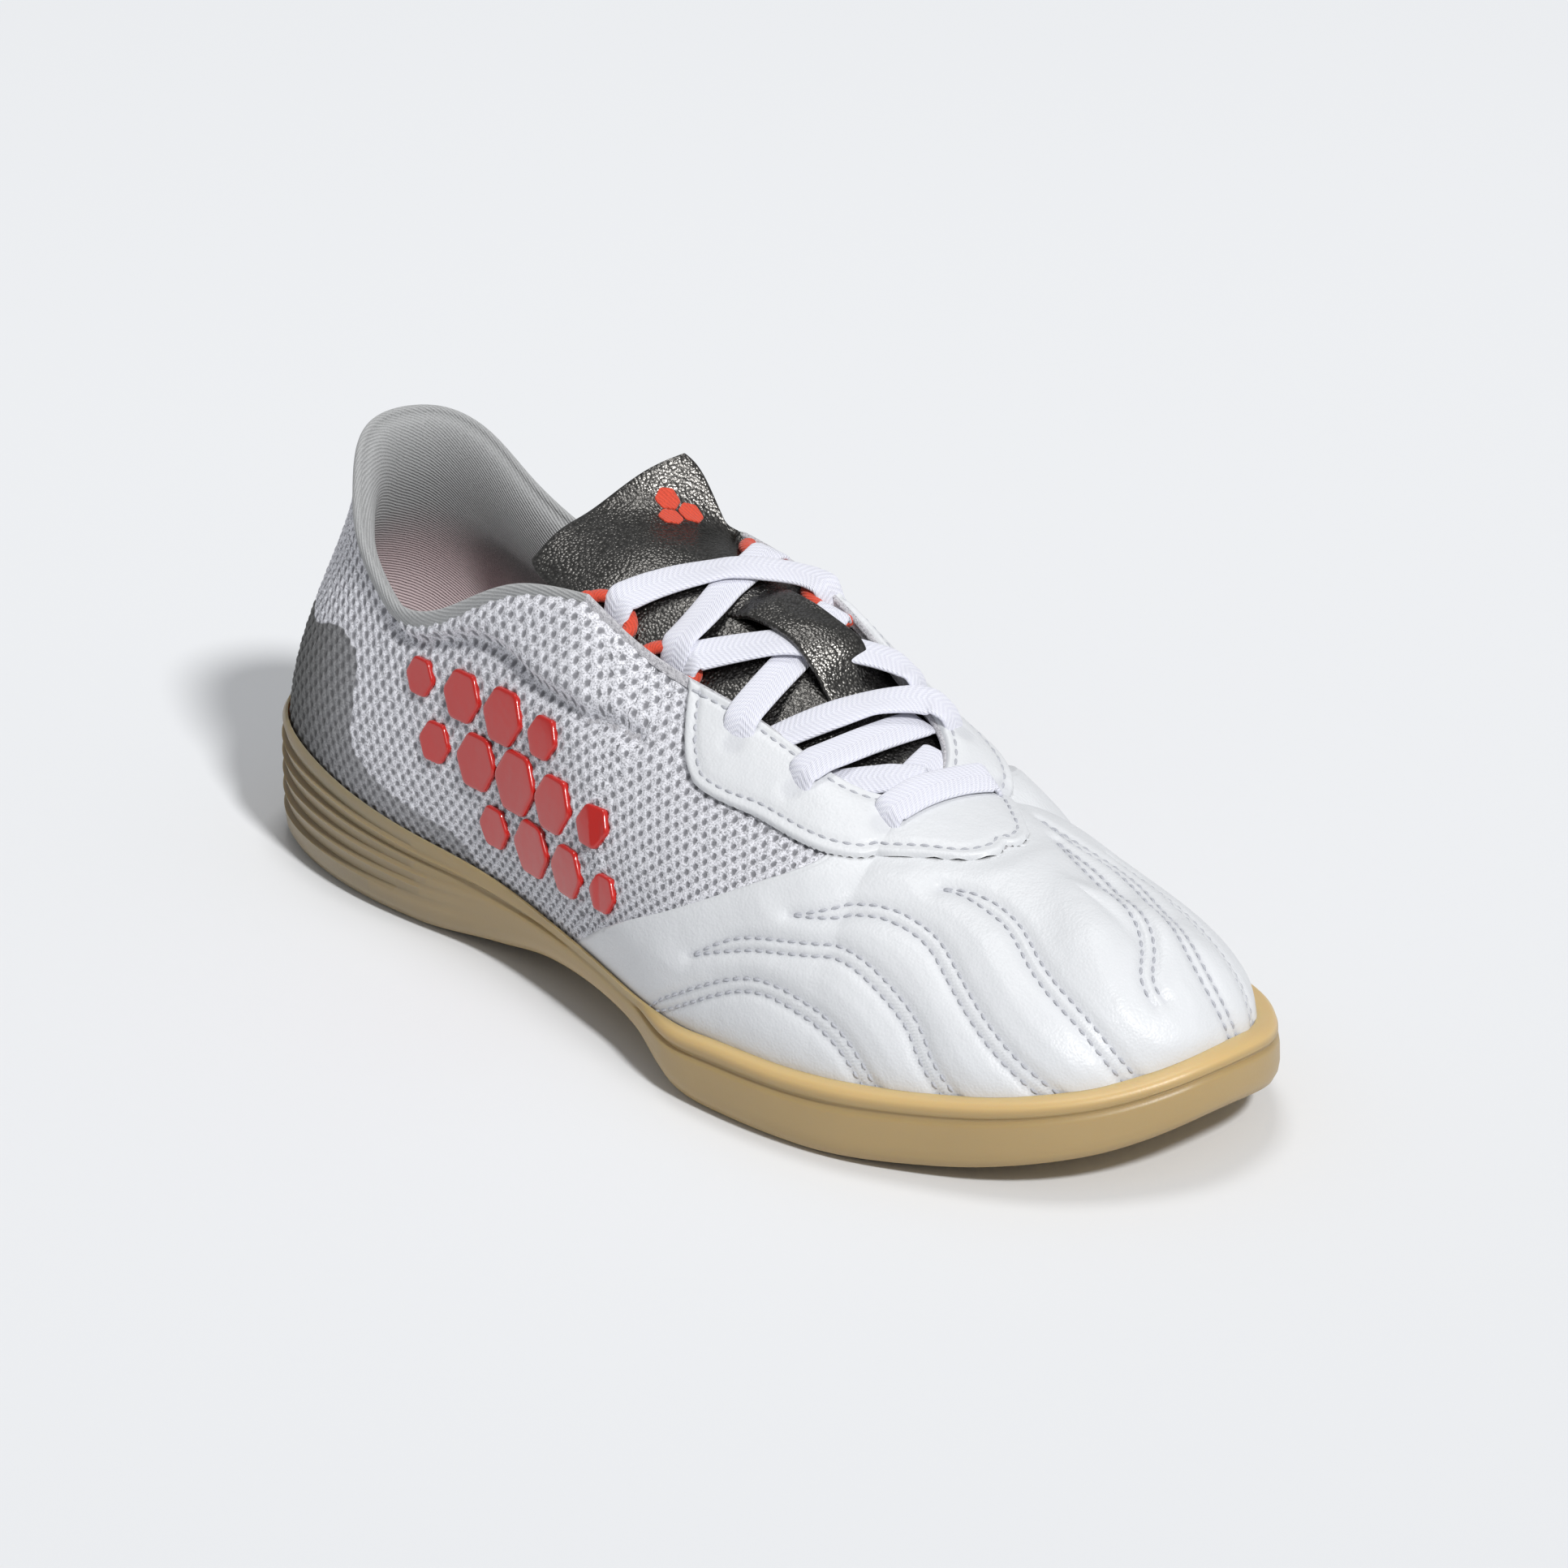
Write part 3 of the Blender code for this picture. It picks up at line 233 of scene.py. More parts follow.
# The lace's strips in the order in which they are laid: name, places, how both ends stop, what they lie
# over and how far they bow up. A place is a lace hole, by side and row, or a section, a share across the
# throat and how far below its edges the place lies.
UNDER_EDGE = 0.0024
LACE_STRIPS = [
    ("low_rising", [(12.36, -1.3, UNDER_EDGE), (12.38, -0.4), (11.95, 0.95, UNDER_EDGE)],
     ("under", "under"), (), 0.001),
    ("low_crossing", [(12.75, 1.25, UNDER_EDGE), (12.46, -0.4), (11.45, -1.2, UNDER_EDGE)],
     ("under", "under"), ("low_rising",), 0.001),
    ("bar", [("lateral", 0), ("medial", 0)],
     ("hole", "hole"), ("low_rising", "low_crossing"), 0.0),
    ("middle_rising", [("lateral", 1), (11.45, -0.6), (11.45, 0.95, UNDER_EDGE)],
     ("hole", "under"), ("low_crossing", "low_rising"), 0.0008),
    ("middle_crossing", [("medial", 1), (11.3, 0.8), (10.95, -0.3), (10.52, -1.2, UNDER_EDGE)],
     ("hole", "under"), ("middle_rising", "low_crossing"), 0.0014),
    ("high_rising", [("lateral", 2), (10.12, -0.5), (9.93, 0.4), (9.75, 0.90)],
     ("hole", "loop"), ("middle_crossing",), 0.0),
    ("high_crossing", [("medial", 2), (10.6, 0.8), (10.1, 0.15), (9.6, -0.45), (9.25, -0.90)],
     ("hole", "loop"), ("high_rising", "middle_crossing"), 0.0006),
    ("top_rising", [(9.10, -0.92), (8.98, -0.2), (8.68, 0.75), (8.57, 1.06)],
     ("loop", "loop"), ("high_crossing", "keeper"), 0.0),
    ("top_crossing", [(9.58, 0.97), (9.24, 0.85), (8.92, 0.45), (8.62, 0.02), (8.36, -0.45), (8.28, -0.93)],
     ("loop", "loop"), ("top_rising", "keeper"), 0.0),
]
HELD_STRIPS = ("high_rising", "high_crossing")
# How far a strip dips at its end, over what length, how steeply, and how narrow it gets there
LACE_ENDS = {"hole": (0.0034, 0.0030, 1.6, 0.86), "loop": (0.0030, 0.0026, 1.5, 0.88)}
LACE_TAPER = 0.0030

# Where the tiles' pattern starts, then its places in rows of a honeycomb and their sizes
TILE_START = (6.95, 0.400)
TILE_THICKNESS = 0.0007
TILE_PITCH, TILE_ROW = 1.08, 0.866
TILES = [
    (-3.0, 1, 0.62), (-2.0, 1, 0.82), (-1.0, 1, 0.90), (0.0, 1, 0.68),
    (-2.0, 0, 0.66), (-1.0, 0, 0.90), (0.0, 0, 1.00), (1.0, 0, 0.90), (2.0, 0, 0.66),
    (0.0, -1, 0.68), (1.0, -1, 0.90), (2.0, -1, 0.82), (3.0, -1, 0.60),
]
# The badge's three tiles on the tongue: places across and down it, then their size and thickness
BADGE = [(0, -0.0026), (0.00225, 0.0013), (-0.00225, 0.0013)]
BADGE_TILE, BADGE_THICKNESS = 0.0041, 0.00035
# Where the badge's middle lies: share of the way up the free end, then quarters of its width
BADGE_UP, BADGE_ACROSS = 0.50, 2.75


def unit(vectors):
    """The directions of one vector or of an array of them."""
    return vectors / np.maximum(np.linalg.norm(vectors, axis=-1, keepdims=True), 1e-12)


def spline(knots, at, closed=False):
    """Cubic spline through rows of numbers that lie one step apart, read at the places in at."""
    knots = np.asarray(knots, float)
    count = len(knots)
    system = np.zeros((count, count))
    pull = np.zeros_like(knots)
    for i in range(count):
        if closed or 0 < i < count - 1:
            before, after = (i - 1) % count, (i + 1) % count
            system[i, i], system[i, before], system[i, after] = 4, 1, 1
            pull[i] = 6 * (knots[before] - 2 * knots[i] + knots[after])
        else:
            system[i, i] = 1
    bend = np.linalg.solve(system, pull)
    at = np.atleast_1d(np.asarray(at, float))
    start = np.floor(at).astype(int)
    if not closed:
        start = np.clip(start, 0, count - 2)
    b = (at - start)[:, None]
    a = 1 - b
    i, j = start % count, (start + 1) % count
    return a * knots[i] + b * knots[j] + ((a**3 - a) * bend[i] + (b**3 - b) * bend[j]) / 6


def loop_of(lateral, medial):
    """Rows from the heel along the lateral side to the toe, and back along the medial side."""
    return np.concatenate([lateral, medial[-2:0:-1]])


def last_tables():
    """The last's rows in metres, as closed loops: feather line, top line and the four forms."""
    feather, top = ([], []), ([], [])
    for zone, along, lateral, medial, top_along, top_lateral, top_medial, left_tall, right_tall, *_ in LAST:
        width, height = ZONES[zone]
        for side, sign, low, high, tall in (
            (0, -1, lateral, top_lateral, left_tall),
            (1, 1, medial, top_medial, right_tall),
        ):
            feather[side].append((along * LAST_LENGTH, sign * low * width))
            top[side].append((top_along * LAST_LENGTH, sign * high * width, tall * height))
    form = np.array([row[9:] for row in LAST])
    return loop_of(*map(np.array, feather)), tuple(map(np.array, top)), loop_of(form, form)


FEATHER, (TOP_LATERAL, TOP_MEDIAL), FORM = last_tables()
LOOP = len(FEATHER)


def sides_of(stations):
    """For places on the loop, their section number and whether they lie on the medial side."""
    stations = np.asarray(stations, float) % LOOP
    medial = stations > TOE_TIP
    return np.where(medial, LOOP - stations, stations), medial


def ease(at, rows):
    """Reads a table of (place, value) rows with smooth steps that never overshoot."""
    places, values = np.array(rows, float)[:, :2].T
    at = np.asarray(at, float)
    i = np.clip(np.searchsorted(places, at, side="right") - 1, 0, len(places) - 2)
    slope = np.gradient(values, places)
    flat = np.zeros(len(values), bool)
    flat[1:-1] = (values[1:-1] - values[:-2]) * (values[2:] - values[1:-1]) <= 0
    flat[[0, -1]] = True
    slope = np.where(flat, 0, slope)
    gap = places[i + 1] - places[i]
    t = np.clip((at - places[i]) / gap, 0, 1)
    return (
        values[i] * (1 + 2 * t) * (1 - t) ** 2
        + gap * slope[i] * t * (1 - t) ** 2
        + values[i + 1] * t * t * (3 - 2 * t)
        + gap * slope[i + 1] * t * t * (t - 1)
    )


def sole_at(stations):
    """Heights of ground, floor and lip, share of wall and share of ribs at places on the loop."""
    section, _ = sides_of(stations)
    return [ease(section, [(row[0], row[k]) for row in SOLE]) for k in range(1, 6)]


def feather_line(stations):
    """Points where the last meets the floor inside the sole, and the outline's outward directions."""
    stations = np.asarray(stations, float)
    flat = spline(FEATHER, stations, closed=True)
    ahead, behind = (spline(FEATHER, stations + step, closed=True) for step in (0.02, -0.02))
    run = unit(ahead - behind)
    out = np.stack([run[:, 1], -run[:, 0], np.zeros(len(run))], axis=1)
    return np.column_stack([flat, sole_at(stations)[1] + CLEARANCE]), out


def top_line(stations):
    """Points of the top line, which changes curve at the throat's top and at its end."""
    section, medial = sides_of(stations)
    collar = np.concatenate([TOP_MEDIAL[THROAT_TOP:0:-1], TOP_LATERAL[: THROAT_TOP + 1]])
    throat = np.concatenate(
        [TOP_LATERAL[THROAT_TOP : THROAT_END + 1], TOP_MEDIAL[THROAT_END - 1 : THROAT_TOP - 1 : -1]]
    )
    throat[THROAT_END - THROAT_TOP] = (TOP_LATERAL[THROAT_END] + TOP_MEDIAL[THROAT_END]) / 2
    ridge = (TOP_LATERAL[THROAT_END:] + TOP_MEDIAL[THROAT_END:]) / 2
    along_throat = np.where(medial, 2 * THROAT_END - THROAT_TOP - section, section - THROAT_TOP)
    points = spline(collar, np.where(medial, -section, section) + THROAT_TOP)
    on_throat = (section > THROAT_TOP) & (section < THROAT_END)
    points[on_throat] = spline(throat, along_throat)[on_throat]
    on_ridge = section >= THROAT_END
    points[on_ridge] = spline(ridge, section - THROAT_END)[on_ridge]
    return points


def section_curves(stations):
    """The four Bezier points of the last's line at each place on the loop."""
    stations = np.asarray(stations, float)
    low, out = feather_line(stations)
    high = top_line(stations)
    rise, flare, reach, drop = spline(FORM, stations, closed=True).T
    section, _ = sides_of(stations)
    step = 0.02
    on_ridge = np.clip(section, THROAT_END + step, TOE_TIP - step)
    run = top_line(on_ridge + step) - top_line(on_ridge - step)
    away = low - high
    away[:, 2] = 0
    distance = np.linalg.norm(away, axis=1, keepdims=True)
    away = np.where(distance > 1e-6, away / np.maximum(distance, 1e-6), out)
    heading = np.where(section[:, None] < THROAT_TOP + 0.5, out, away)
    tall = (high - low)[:, 2]
    span = np.maximum(distance[:, 0], 0.2 * LAST_HEEL)
    ridge_fall = -run[:, 2] / run[:, 0] * heading[:, 0] * reach * span
    on_vamp = smooth_step(section, THROAT_END - 0.9, THROAT_END)
    fall = on_vamp * ridge_fall + (1 - on_vamp) * drop * tall
    up = np.array([0, 0, 1])
    second = low + up * (rise * tall)[:, None] + out * (flare * LAST_BALL)[:, None]
    third = high + heading * (reach * span)[:, None] - up * fall[:, None]
    return low, second, third, high


def last_points(stations, shares):
    """Points of the last, in its own place, for stations and shares of the same shape."""
    stations, shares = np.broadcast_arrays(np.asarray(stations, float), np.asarray(shares, float))
    t = shares.ravel()[:, None]
    a, b, c, d = section_curves(stations.ravel())
    points = a * (1 - t) ** 3 + 3 * b * t * (1 - t) ** 2 + 3 * c * t * t * (1 - t) + d * t**3
    return points.reshape(*shares.shape, 3)


def frame_shift():
    """From the last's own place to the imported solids' place, by where the insole lies."""
    stations = np.arange(0, LOOP, 0.5)
    feather, out = feather_line(stations)
    edge = feather - out * (UPPER_WALL + INSOLE_EASE)
    return np.array(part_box("insole")[0]) - edge.min(axis=0)


SHIFT = frame_shift()


def on_last(stations, shares, lift=0.0):
    """Points of the last in the frame, lifted off it by so much."""
    points = last_points(stations, shares)
    if np.any(lift):
        lift = np.broadcast_to(lift, points.shape[:-1])
        points = points + last_normals(stations, shares) * lift[..., None]
    return points + SHIFT


def last_normals(stations, shares):
    """Outward directions of the last, shared by both sides along the vamp's ridge."""
    stations, shares = np.broadcast_arrays(np.asarray(stations, float), np.asarray(shares, float))
    step = 0.01

    def one_side(at):
        along = last_points(at + step, shares) - last_points(at - step, shares)
        low, high = np.maximum(shares - step, 0), np.minimum(shares + step, 1)
        return unit(np.cross(along, last_points(at, high) - last_points(at, low)))

    section, _ = sides_of(stations)
    on_ridge = ((section >= THROAT_END) & (shares > 0.999))[..., None]
    normal = one_side(stations)
    both = unit(normal + one_side(LOOP - stations))
    return np.where(on_ridge, both, normal)


def arc(points, axis=0):
    """Length along a grid's rows or columns from their start."""
    steps = np.linalg.norm(np.diff(points, axis=axis), axis=-1)
    lengths = np.cumsum(steps, axis=axis)
    return np.concatenate([np.zeros_like(np.take(lengths, [0], axis=axis)), lengths], axis=axis)


def smooth_step(x, low, high):
    """0 below low, 1 above high, and a smooth rise between."""
    t = np.clip((np.asarray(x, float) - low) / (high - low), 0, 1)
    return t * t * (3 - 2 * t)


def bell(distance, width):
    """1 where the distance is 0, and next to nothing beyond twice the width."""
    return np.exp(-((distance / width) ** 2))


def read_line(line, at):
    """Points of a line at the given lengths from its start."""
    length = arc(line)
    return np.column_stack([np.interp(at, length, column) for column in line.T])


def evenly(line):
    """The same line with its points at even steps."""
    return read_line(line, np.arange(0, arc(line)[-1], LINE_STEP))


def soften(values, rounds):
    """Smooths an array along its first axis in place, with its ends held."""
    for _ in range(rounds):
        values[1:-1] = (values[:-2] + 2 * values[1:-1] + values[2:]) / 4
    return values


def crowded(count, margin, steps=4):
    """Places from 0 to 1 that lie closer together near both ends, for rounded edges."""
    near = margin * (np.arange(steps) / steps) ** 1.5
    return np.concatenate([near, np.linspace(margin, 1 - margin, count), (1 - near)[::-1]])


def nearest(points, lines):
    """Distance from each point to the closest of some densely sampled lines."""
    line = np.concatenate(lines)
    tree = KDTree(len(line))
    for i, point in enumerate(line):
        tree.insert(point, i)
    tree.balance()
    flat = points.reshape(-1, 3)
    return np.array([tree.find(p)[2] for p in flat]).reshape(points.shape[:-1])


def dense_line(rows, by_ease=False):
    """Points at even steps along a line on the last through (station, share) rows."""
    rows = np.array(rows, float)
    if by_ease:
        at = np.linspace(rows[0, 0], rows[-1, 0], 400)
        places = np.column_stack([at, ease(at, rows)])
    else:
        places = spline(rows, np.linspace(0, len(rows) - 1, 40 * len(rows)))
    return evenly(on_last(places[:, 0], places[:, 1]))


def mirrored(rows):
    """The same rows on the medial side."""
    return [(LOOP - station, share) for station, share in rows]


class Finish:
    """Builds the nodes of a material."""

    def __init__(self, name, colour, roughness, **fixed):
        self.material = bpy.data.materials.new(name)
        self.material.use_nodes = True
        self.tree = self.material.node_tree
        self.shader = self.tree.nodes["Principled BSDF"]
        self.shader.inputs["Base Color"].default_value = (*colour, 1)
        self.shader.inputs["Roughness"].default_value = roughness
        for key, value in fixed.items():
            self.shader.inputs[key.replace("_", " ")].default_value = value

    def node(self, kind, settings=(), **feeds):
        """Adds a node. settings are its own fields, feeds its sockets."""
        made = self.tree.nodes.new("ShaderNode" + kind)
        for key, value in dict(settings).items():
            setattr(made, key, value)
        for key, value in feeds.items():
            self.feed(made.inputs[key.replace("_", " ")], value)
        return made

    def feed(self, socket, value):
        """Links a socket into another, or sets its value."""
        if isinstance(value, bpy.types.NodeSocket):
            self.tree.links.new(value, socket)
        else:
            socket.default_value = value

    def shade(self, **feeds):
        """Feeds the shader's sockets."""
        for key, value in feeds.items():
            self.feed(self.shader.inputs[key.replace("_", " ")], value)

    def math(self, operation, *values, clamp=False):
        """A Math node's result."""
        made = self.node("Math", {"operation": operation, "use_clamp": clamp})
        for socket, value in zip(made.inputs, values):
            self.feed(socket, value)
        return made.outputs[0]

    def mix(self, factor, first, second):
        """A mix of two colours."""
        made = self.node("Mix", {"data_type": "RGBA"})
        for index, value in ((0, factor), (6, first), (7, second)):
            if isinstance(value, tuple) and len(value) == 3:
                value = (*value, 1)
            self.feed(made.inputs[index], value)
        return made.outputs[2]

    def ramp(self, value, low, high):
        """A smooth step from 0 at low to 1 at high."""
        made = self.node("MapRange", {"interpolation_type": "SMOOTHSTEP"})
        for index, number in enumerate((value, low, high, 0.0, 1.0)):
            self.feed(made.inputs[index], number)
        return made.outputs[0]

    def place(self):
        """The object's own coordinates in metres."""
        return self.node("TexCoord").outputs["Object"]

    def forward(self):
        """How far along the shoe a point lies, from the middle to the toe, in metres."""
        return self.node("SeparateXYZ", Vector=self.place()).outputs[0]

    def uv(self):
        """The two lengths along a piece's surface, in metres."""
        surface = self.node("UVMap", {"uv_map": "surface"}).outputs[0]
        return self.node("SeparateXYZ", Vector=surface).outputs[:2]

    def layer(self, name):
        """A number kept at each point of the mesh."""
        return self.node("Attribute", {"attribute_name": name}).outputs["Fac"]

    def noise(self, scale, detail=2.0, roughness=0.5):
        """Noise with features of about 1 / scale metres."""
        feeds = {"Vector": self.place(), "Scale": scale, "Detail": detail, "Roughness": roughness}
        return self.node("TexNoise", **feeds).outputs[0]

    def cells(self, scale, smoothness=0.6):
        """Soft cells of about 1 / scale metres, high in their middles."""
        feeds = {"Vector": self.place(), "Scale": scale, "Smoothness": smoothness}
        made = self.node("TexVoronoi", {"feature": "SMOOTH_F1"}, **feeds)
        return self.math("SUBTRACT", 1.0, made.outputs["Distance"])

    def wave(self, value, pitch, phase=0.0):
        """A cosine of the given pitch."""
        turned = self.math("MULTIPLY_ADD", value, 2 * np.pi / pitch, phase)
        return self.math("COSINE", turned)

    def bump(self, height, distance, strength, under=None):
        """Turns a height of 0 to 1 into a normal, distance metres deep."""
        made = self.node("Bump", Strength=strength, Distance=distance, Height=height)
        if under is not None:
            self.feed(made.inputs["Normal"], under)
        return made.outputs[0]


def look():
    """The settings in the sidebar."""
    return bpy.context.scene.shoe_look


def put(name, data, finish, nodes=()):
    """Adds a piece, sets it on the shoe's only body and hides the solids that it stands for."""
    made = bpy.data.objects.new(name, data)
    bpy.context.scene.collection.objects.link(made)
    data.materials.append(finish.material)
    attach(made, "root")
    if nodes:
        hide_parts(*nodes)
    return made


def grid_faces(rows, columns, closed=False):
    """The corners of each face of a grid of points, which may close on itself after its last row."""
    index = np.arange(rows * columns).reshape(rows, columns)
    if closed:
        index = np.concatenate([index, index[:1]])
    corners = np.stack([index[:-1, :-1], index[1:, :-1], index[1:, 1:], index[:-1, 1:]], axis=-1)
    return corners.reshape(-1, 4).tolist()


def grid_tree(points):
    """A tree that rays can meet, of a grid of points."""
    return BVHTree.FromPolygons(points.reshape(-1, 3).tolist(), grid_faces(*points.shape[:2]))


def grid_mesh(name, points, uv=None, layers=None, closed=False, lift=None, weld=0.00002, relax=None):
    """A smooth mesh from a grid of points, outward where rows run along the last and columns up it.

    lift moves the welded mesh along its normals. relax is a share of smoothing for each point.
    """
    rows, columns = points.shape[:2]
    mesh = bpy.data.meshes.new(name)
    mesh.from_pydata(points.reshape(-1, 3).tolist(), [], grid_faces(rows, columns, closed))
    layers = dict(layers or {})
    if lift is not None:
        layers["lift"] = lift
    if relax is not None:
        layers["relax"] = relax
    for key, values in layers.items():
        layer = mesh.attributes.new(key, "FLOAT", "POINT")
        layer.data.foreach_set("value", np.broadcast_to(values, (rows, columns)).astype(np.float32).ravel())
    if uv is not None:
        corners = np.zeros(len(mesh.loops), int)
        mesh.loops.foreach_get("vertex_index", corners)
        surface = mesh.uv_layers.new(name="surface")
        surface.data.foreach_set("uv", uv.reshape(-1, 2)[corners].astype(np.float32).ravel())
    bm = bmesh.new()
    bm.from_mesh(mesh)
    bmesh.ops.remove_doubles(bm, verts=bm.verts, dist=weld)
    if relax is not None:
        layer = bm.verts.layers.float["relax"]
        soft = [v for v in bm.verts if v[layer] > 0.5 and not v.is_boundary]
        every_axis = {f"use_axis_{axis}": True for axis in "xyz"}
        for _ in range(30):
            bmesh.ops.smooth_vert(bm, verts=soft, factor=0.5, **every_axis)
    bm.to_mesh(mesh)
    bm.free()
    if lift is not None:
        raise_along_normals(mesh)
    for key in ("lift", "relax"):
        if key in mesh.attributes:
            mesh.attributes.remove(mesh.attributes[key])
    mesh.shade_smooth()
    return mesh


def raise_along_normals(mesh):
    """Moves each vertex along its normal by the mesh's own lift layer."""
    count = len(mesh.vertices)
    place, normal, lift = np.zeros(count * 3), np.zeros(count * 3), np.zeros(count)
    mesh.vertices.foreach_get("co", place)
    mesh.vertices.foreach_get("normal", normal)
    mesh.attributes["lift"].data.foreach_get("value", lift)
    place += normal * np.repeat(lift, 3)
    mesh.vertices.foreach_set("co", place)
    mesh.update()


def pillow(name, points, thickness, radius, ends=(True, True, True, True), low=0.5):
    """A closed sheet round a grid of points, with rounded edges at the named ends of rows and columns."""
    along, across = arc(points, 0), arc(points, 1)
    gaps = [along, along[-1:] - along, across, across[:, -1:] - across]
    border = np.minimum.reduce([np.where(on, gap, 1.0) for on, gap in zip(ends, gaps)])
    edge = np.clip(border / radius, 0, 1)
    swell = np.sqrt(np.maximum(1 - (1 - edge) ** 2, 0))
    normals = grid_normals(points)
    top = points + normals * (thickness * (1 - low) * swell)[..., None]
    under = points - normals * (thickness * low * swell)[..., None]
    uv = np.stack([along, across], axis=-1)
    pairs = ((top, under), (uv, uv))
    skin, surface = (np.concatenate([a, b[:, ::-1], a[:, :1]], axis=1) for a, b in pairs)
    return grid_mesh(name, skin, uv=surface)


def grid_normals(points):
    """Directions square to a grid of points, outward where rows run along and columns up."""
    return unit(np.cross(np.gradient(points, axis=0), np.gradient(points, axis=1)))


def contour_lengths(points):
    """How far round the heel and along the side each point of the upper lies, from the heel's back."""
    stations = np.linspace(-TOE_TIP, TOE_TIP, 800)
    line = on_last(stations, 0.45)[:, :2]
    length = arc(line)
    length -= np.interp(0, stations, length)
    flat = points.reshape(-1, 3)[:, :2]
    found = np.zeros(len(flat))
    for start in range(0, len(flat), 20000):
        part = flat[start : start + 20000]
        apart = ((part[:, None] - line[None]) ** 2).sum(axis=2)
        best = np.clip(apart.argmin(axis=1), 1, len(line) - 2)
        run = line[best + 1] - line[best - 1]
        along = ((part - line[best]) * run).sum(axis=1) / np.linalg.norm(run, axis=1)
        found[start : start + 20000] = length[best] + along
    return found.reshape(points.shape[:-1])


def weave_height(u, v):
    """The mesh's lattice of knots and holes, from -1 in a hole to 1 on a knot."""
    pitch, rows = look().weave_pitch, look().weave_rows
    return np.cos(2 * np.pi * u / pitch) * np.cos(np.pi * v / rows)


def shaded(colour, share):
    """A colour made darker or lighter."""
    return tuple(share * c for c in colour)


def mesh_fabric():
    """White three-dimensional mesh with a grey print at the heel."""
    settings = look()
    made = Finish("mesh_fabric", (0.8, 0.8, 0.84), 0.75, Sheen_Weight=0.15)
    u, v = made.uv()
    u = made.math("MULTIPLY_ADD", made.noise(700.0, 2.0), 0.0005, u)
    v = made.math("MULTIPLY_ADD", made.noise(520.0, 2.0), 0.0006, v)
    knots, rows = made.wave(u, settings.weave_pitch), made.wave(v, 2 * settings.weave_rows)
    lattice = made.math("MULTIPLY", knots, rows)
    strand = made.ramp(lattice, -0.92, -0.22)
    yarn = made.noise(2600.0, 3.0, 0.6)
    bright = made.math("MULTIPLY", strand, made.ramp(yarn, 0.25, 0.62))
    # The holes between the knots are painted dark: painted shade in the holes of a closed surface, with
    # random darker yarn.
    white = made.mix(bright, (0.22, 0.22, 0.24), tuple(settings.mesh_colour))
    dark = made.mix(bright, (0.050, 0.050, 0.048), (0.125, 0.125, 0.122))
    pale = made.mix(bright, (0.15, 0.15, 0.16), (0.42, 0.42, 0.44))
    print_colour = made.mix(made.ramp(made.forward(), -0.108, -0.068), dark, pale)
    edge = made.math("ADD", made.layer("print_edge"), made.math("MULTIPLY_ADD", yarn, 0.0008, -0.0004))
    made.shade(Base_Color=made.mix(made.ramp(edge, -0.0002, 0.0002), white, print_colour))
    relief = made.math("ADD", made.math("MULTIPLY", strand, 0.55), made.math("MULTIPLY", yarn, 0.45))
    made.shade(Normal=made.bump(relief, 0.00045, 0.9))
    return made


def grained_leather(name="grained_leather"):
    """White synthetic leather with a fine grain, and painted shade along its seams' creases and at its
    lace-hole pits.
    """
    colour = tuple(look().leather_colour)
    made = Finish(name, colour, 0.42, Specular_IOR_Level=0.45)
    fine = made.cells(1900.0)
    broad = made.noise(160.0, 3.0)
    pores = made.noise(3800.0, 2.0)
    tone = made.mix(broad, shaded(colour, 0.965), colour)
    # Painted shade: the leather is painted grey along the seams' creases and at the lace-hole pits, where
    # shade falls.
    painted_crease_shade = made.math("MULTIPLY", made.ramp(made.layer("crease"), 0.1, 1.0), 0.35)
    made.shade(Base_Color=made.mix(painted_crease_shade, tone, (0.50, 0.51, 0.55)))
    made.shade(Roughness=made.math("MULTIPLY_ADD", fine, 0.14, 0.34))
    grain = made.math("ADD", made.math("MULTIPLY", fine, 0.7), made.math("MULTIPLY", pores, 0.3))
    soft = made.bump(broad, 0.0006, 0.5)
    made.shade(Normal=made.bump(grain, 0.00012, 0.65, soft))
    return made


def metallic_leather(name="metallic_leather"):
    """Gunmetal leather with a pebbled grain."""
    colour = tuple(look().tongue_colour)
    made = Finish(name, colour, 0.36, Metallic=1.0)
    pebble = made.cells(1650.0, 0.35)
    fine = made.noise(3200.0, 2.0)
    broad = made.noise(90.0, 2.0)
    tone = made.mix(made.ramp(pebble, 0.30, 0.62), shaded(colour, 0.62), colour)
    made.shade(Base_Color=tone)
    made.shade(Roughness=made.math("MULTIPLY_ADD", fine, 0.14, 0.22))
    grain = made.math("ADD", made.math("MULTIPLY", pebble, 0.75), made.math("MULTIPLY", fine, 0.25))
    made.shade(Normal=made.bump(grain, 0.00020, 1.0, made.bump(broad, 0.0008, 0.3)))
    return made


def ribbed_knit():
    """Grey lining with fine diagonal ribs, painted lighter and warmer deep inside the shoe."""
    colour = tuple(look().lining_colour)
    made = Finish("ribbed_knit", colour, 0.85, Sheen_Weight=0.3)
    u, v = made.uv()
    slanted = made.math("MULTIPLY_ADD", u, 0.35, v)
    rib = made.wave(made.math("MULTIPLY_ADD", made.noise(300.0), 0.0004, slanted), 0.00072)
    fuzz = made.noise(3000.0, 3.0, 0.7)
    shade = made.math("ADD", made.math("MULTIPLY", rib, 0.16), made.math("MULTIPLY", fuzz, 0.9), clamp=True)
    tone = made.mix(shade, shaded(colour, 0.55), shaded(colour, 1.25))
    # Painted light: deeper inside the shoe the lining is painted a much lighter, warmer colour, standing in
    # for light that reaches the inside.
    inside = made.mix(made.ramp(made.layer("depth"), 0.016, 0.034), tone, (0.80, 0.65, 0.66))
    made.shade(Base_Color=inside)
    relief = made.math("ADD", made.math("MULTIPLY", rib, 0.3), fuzz)
    made.shade(Normal=made.bump(relief, 0.00022, 0.9))
    return made


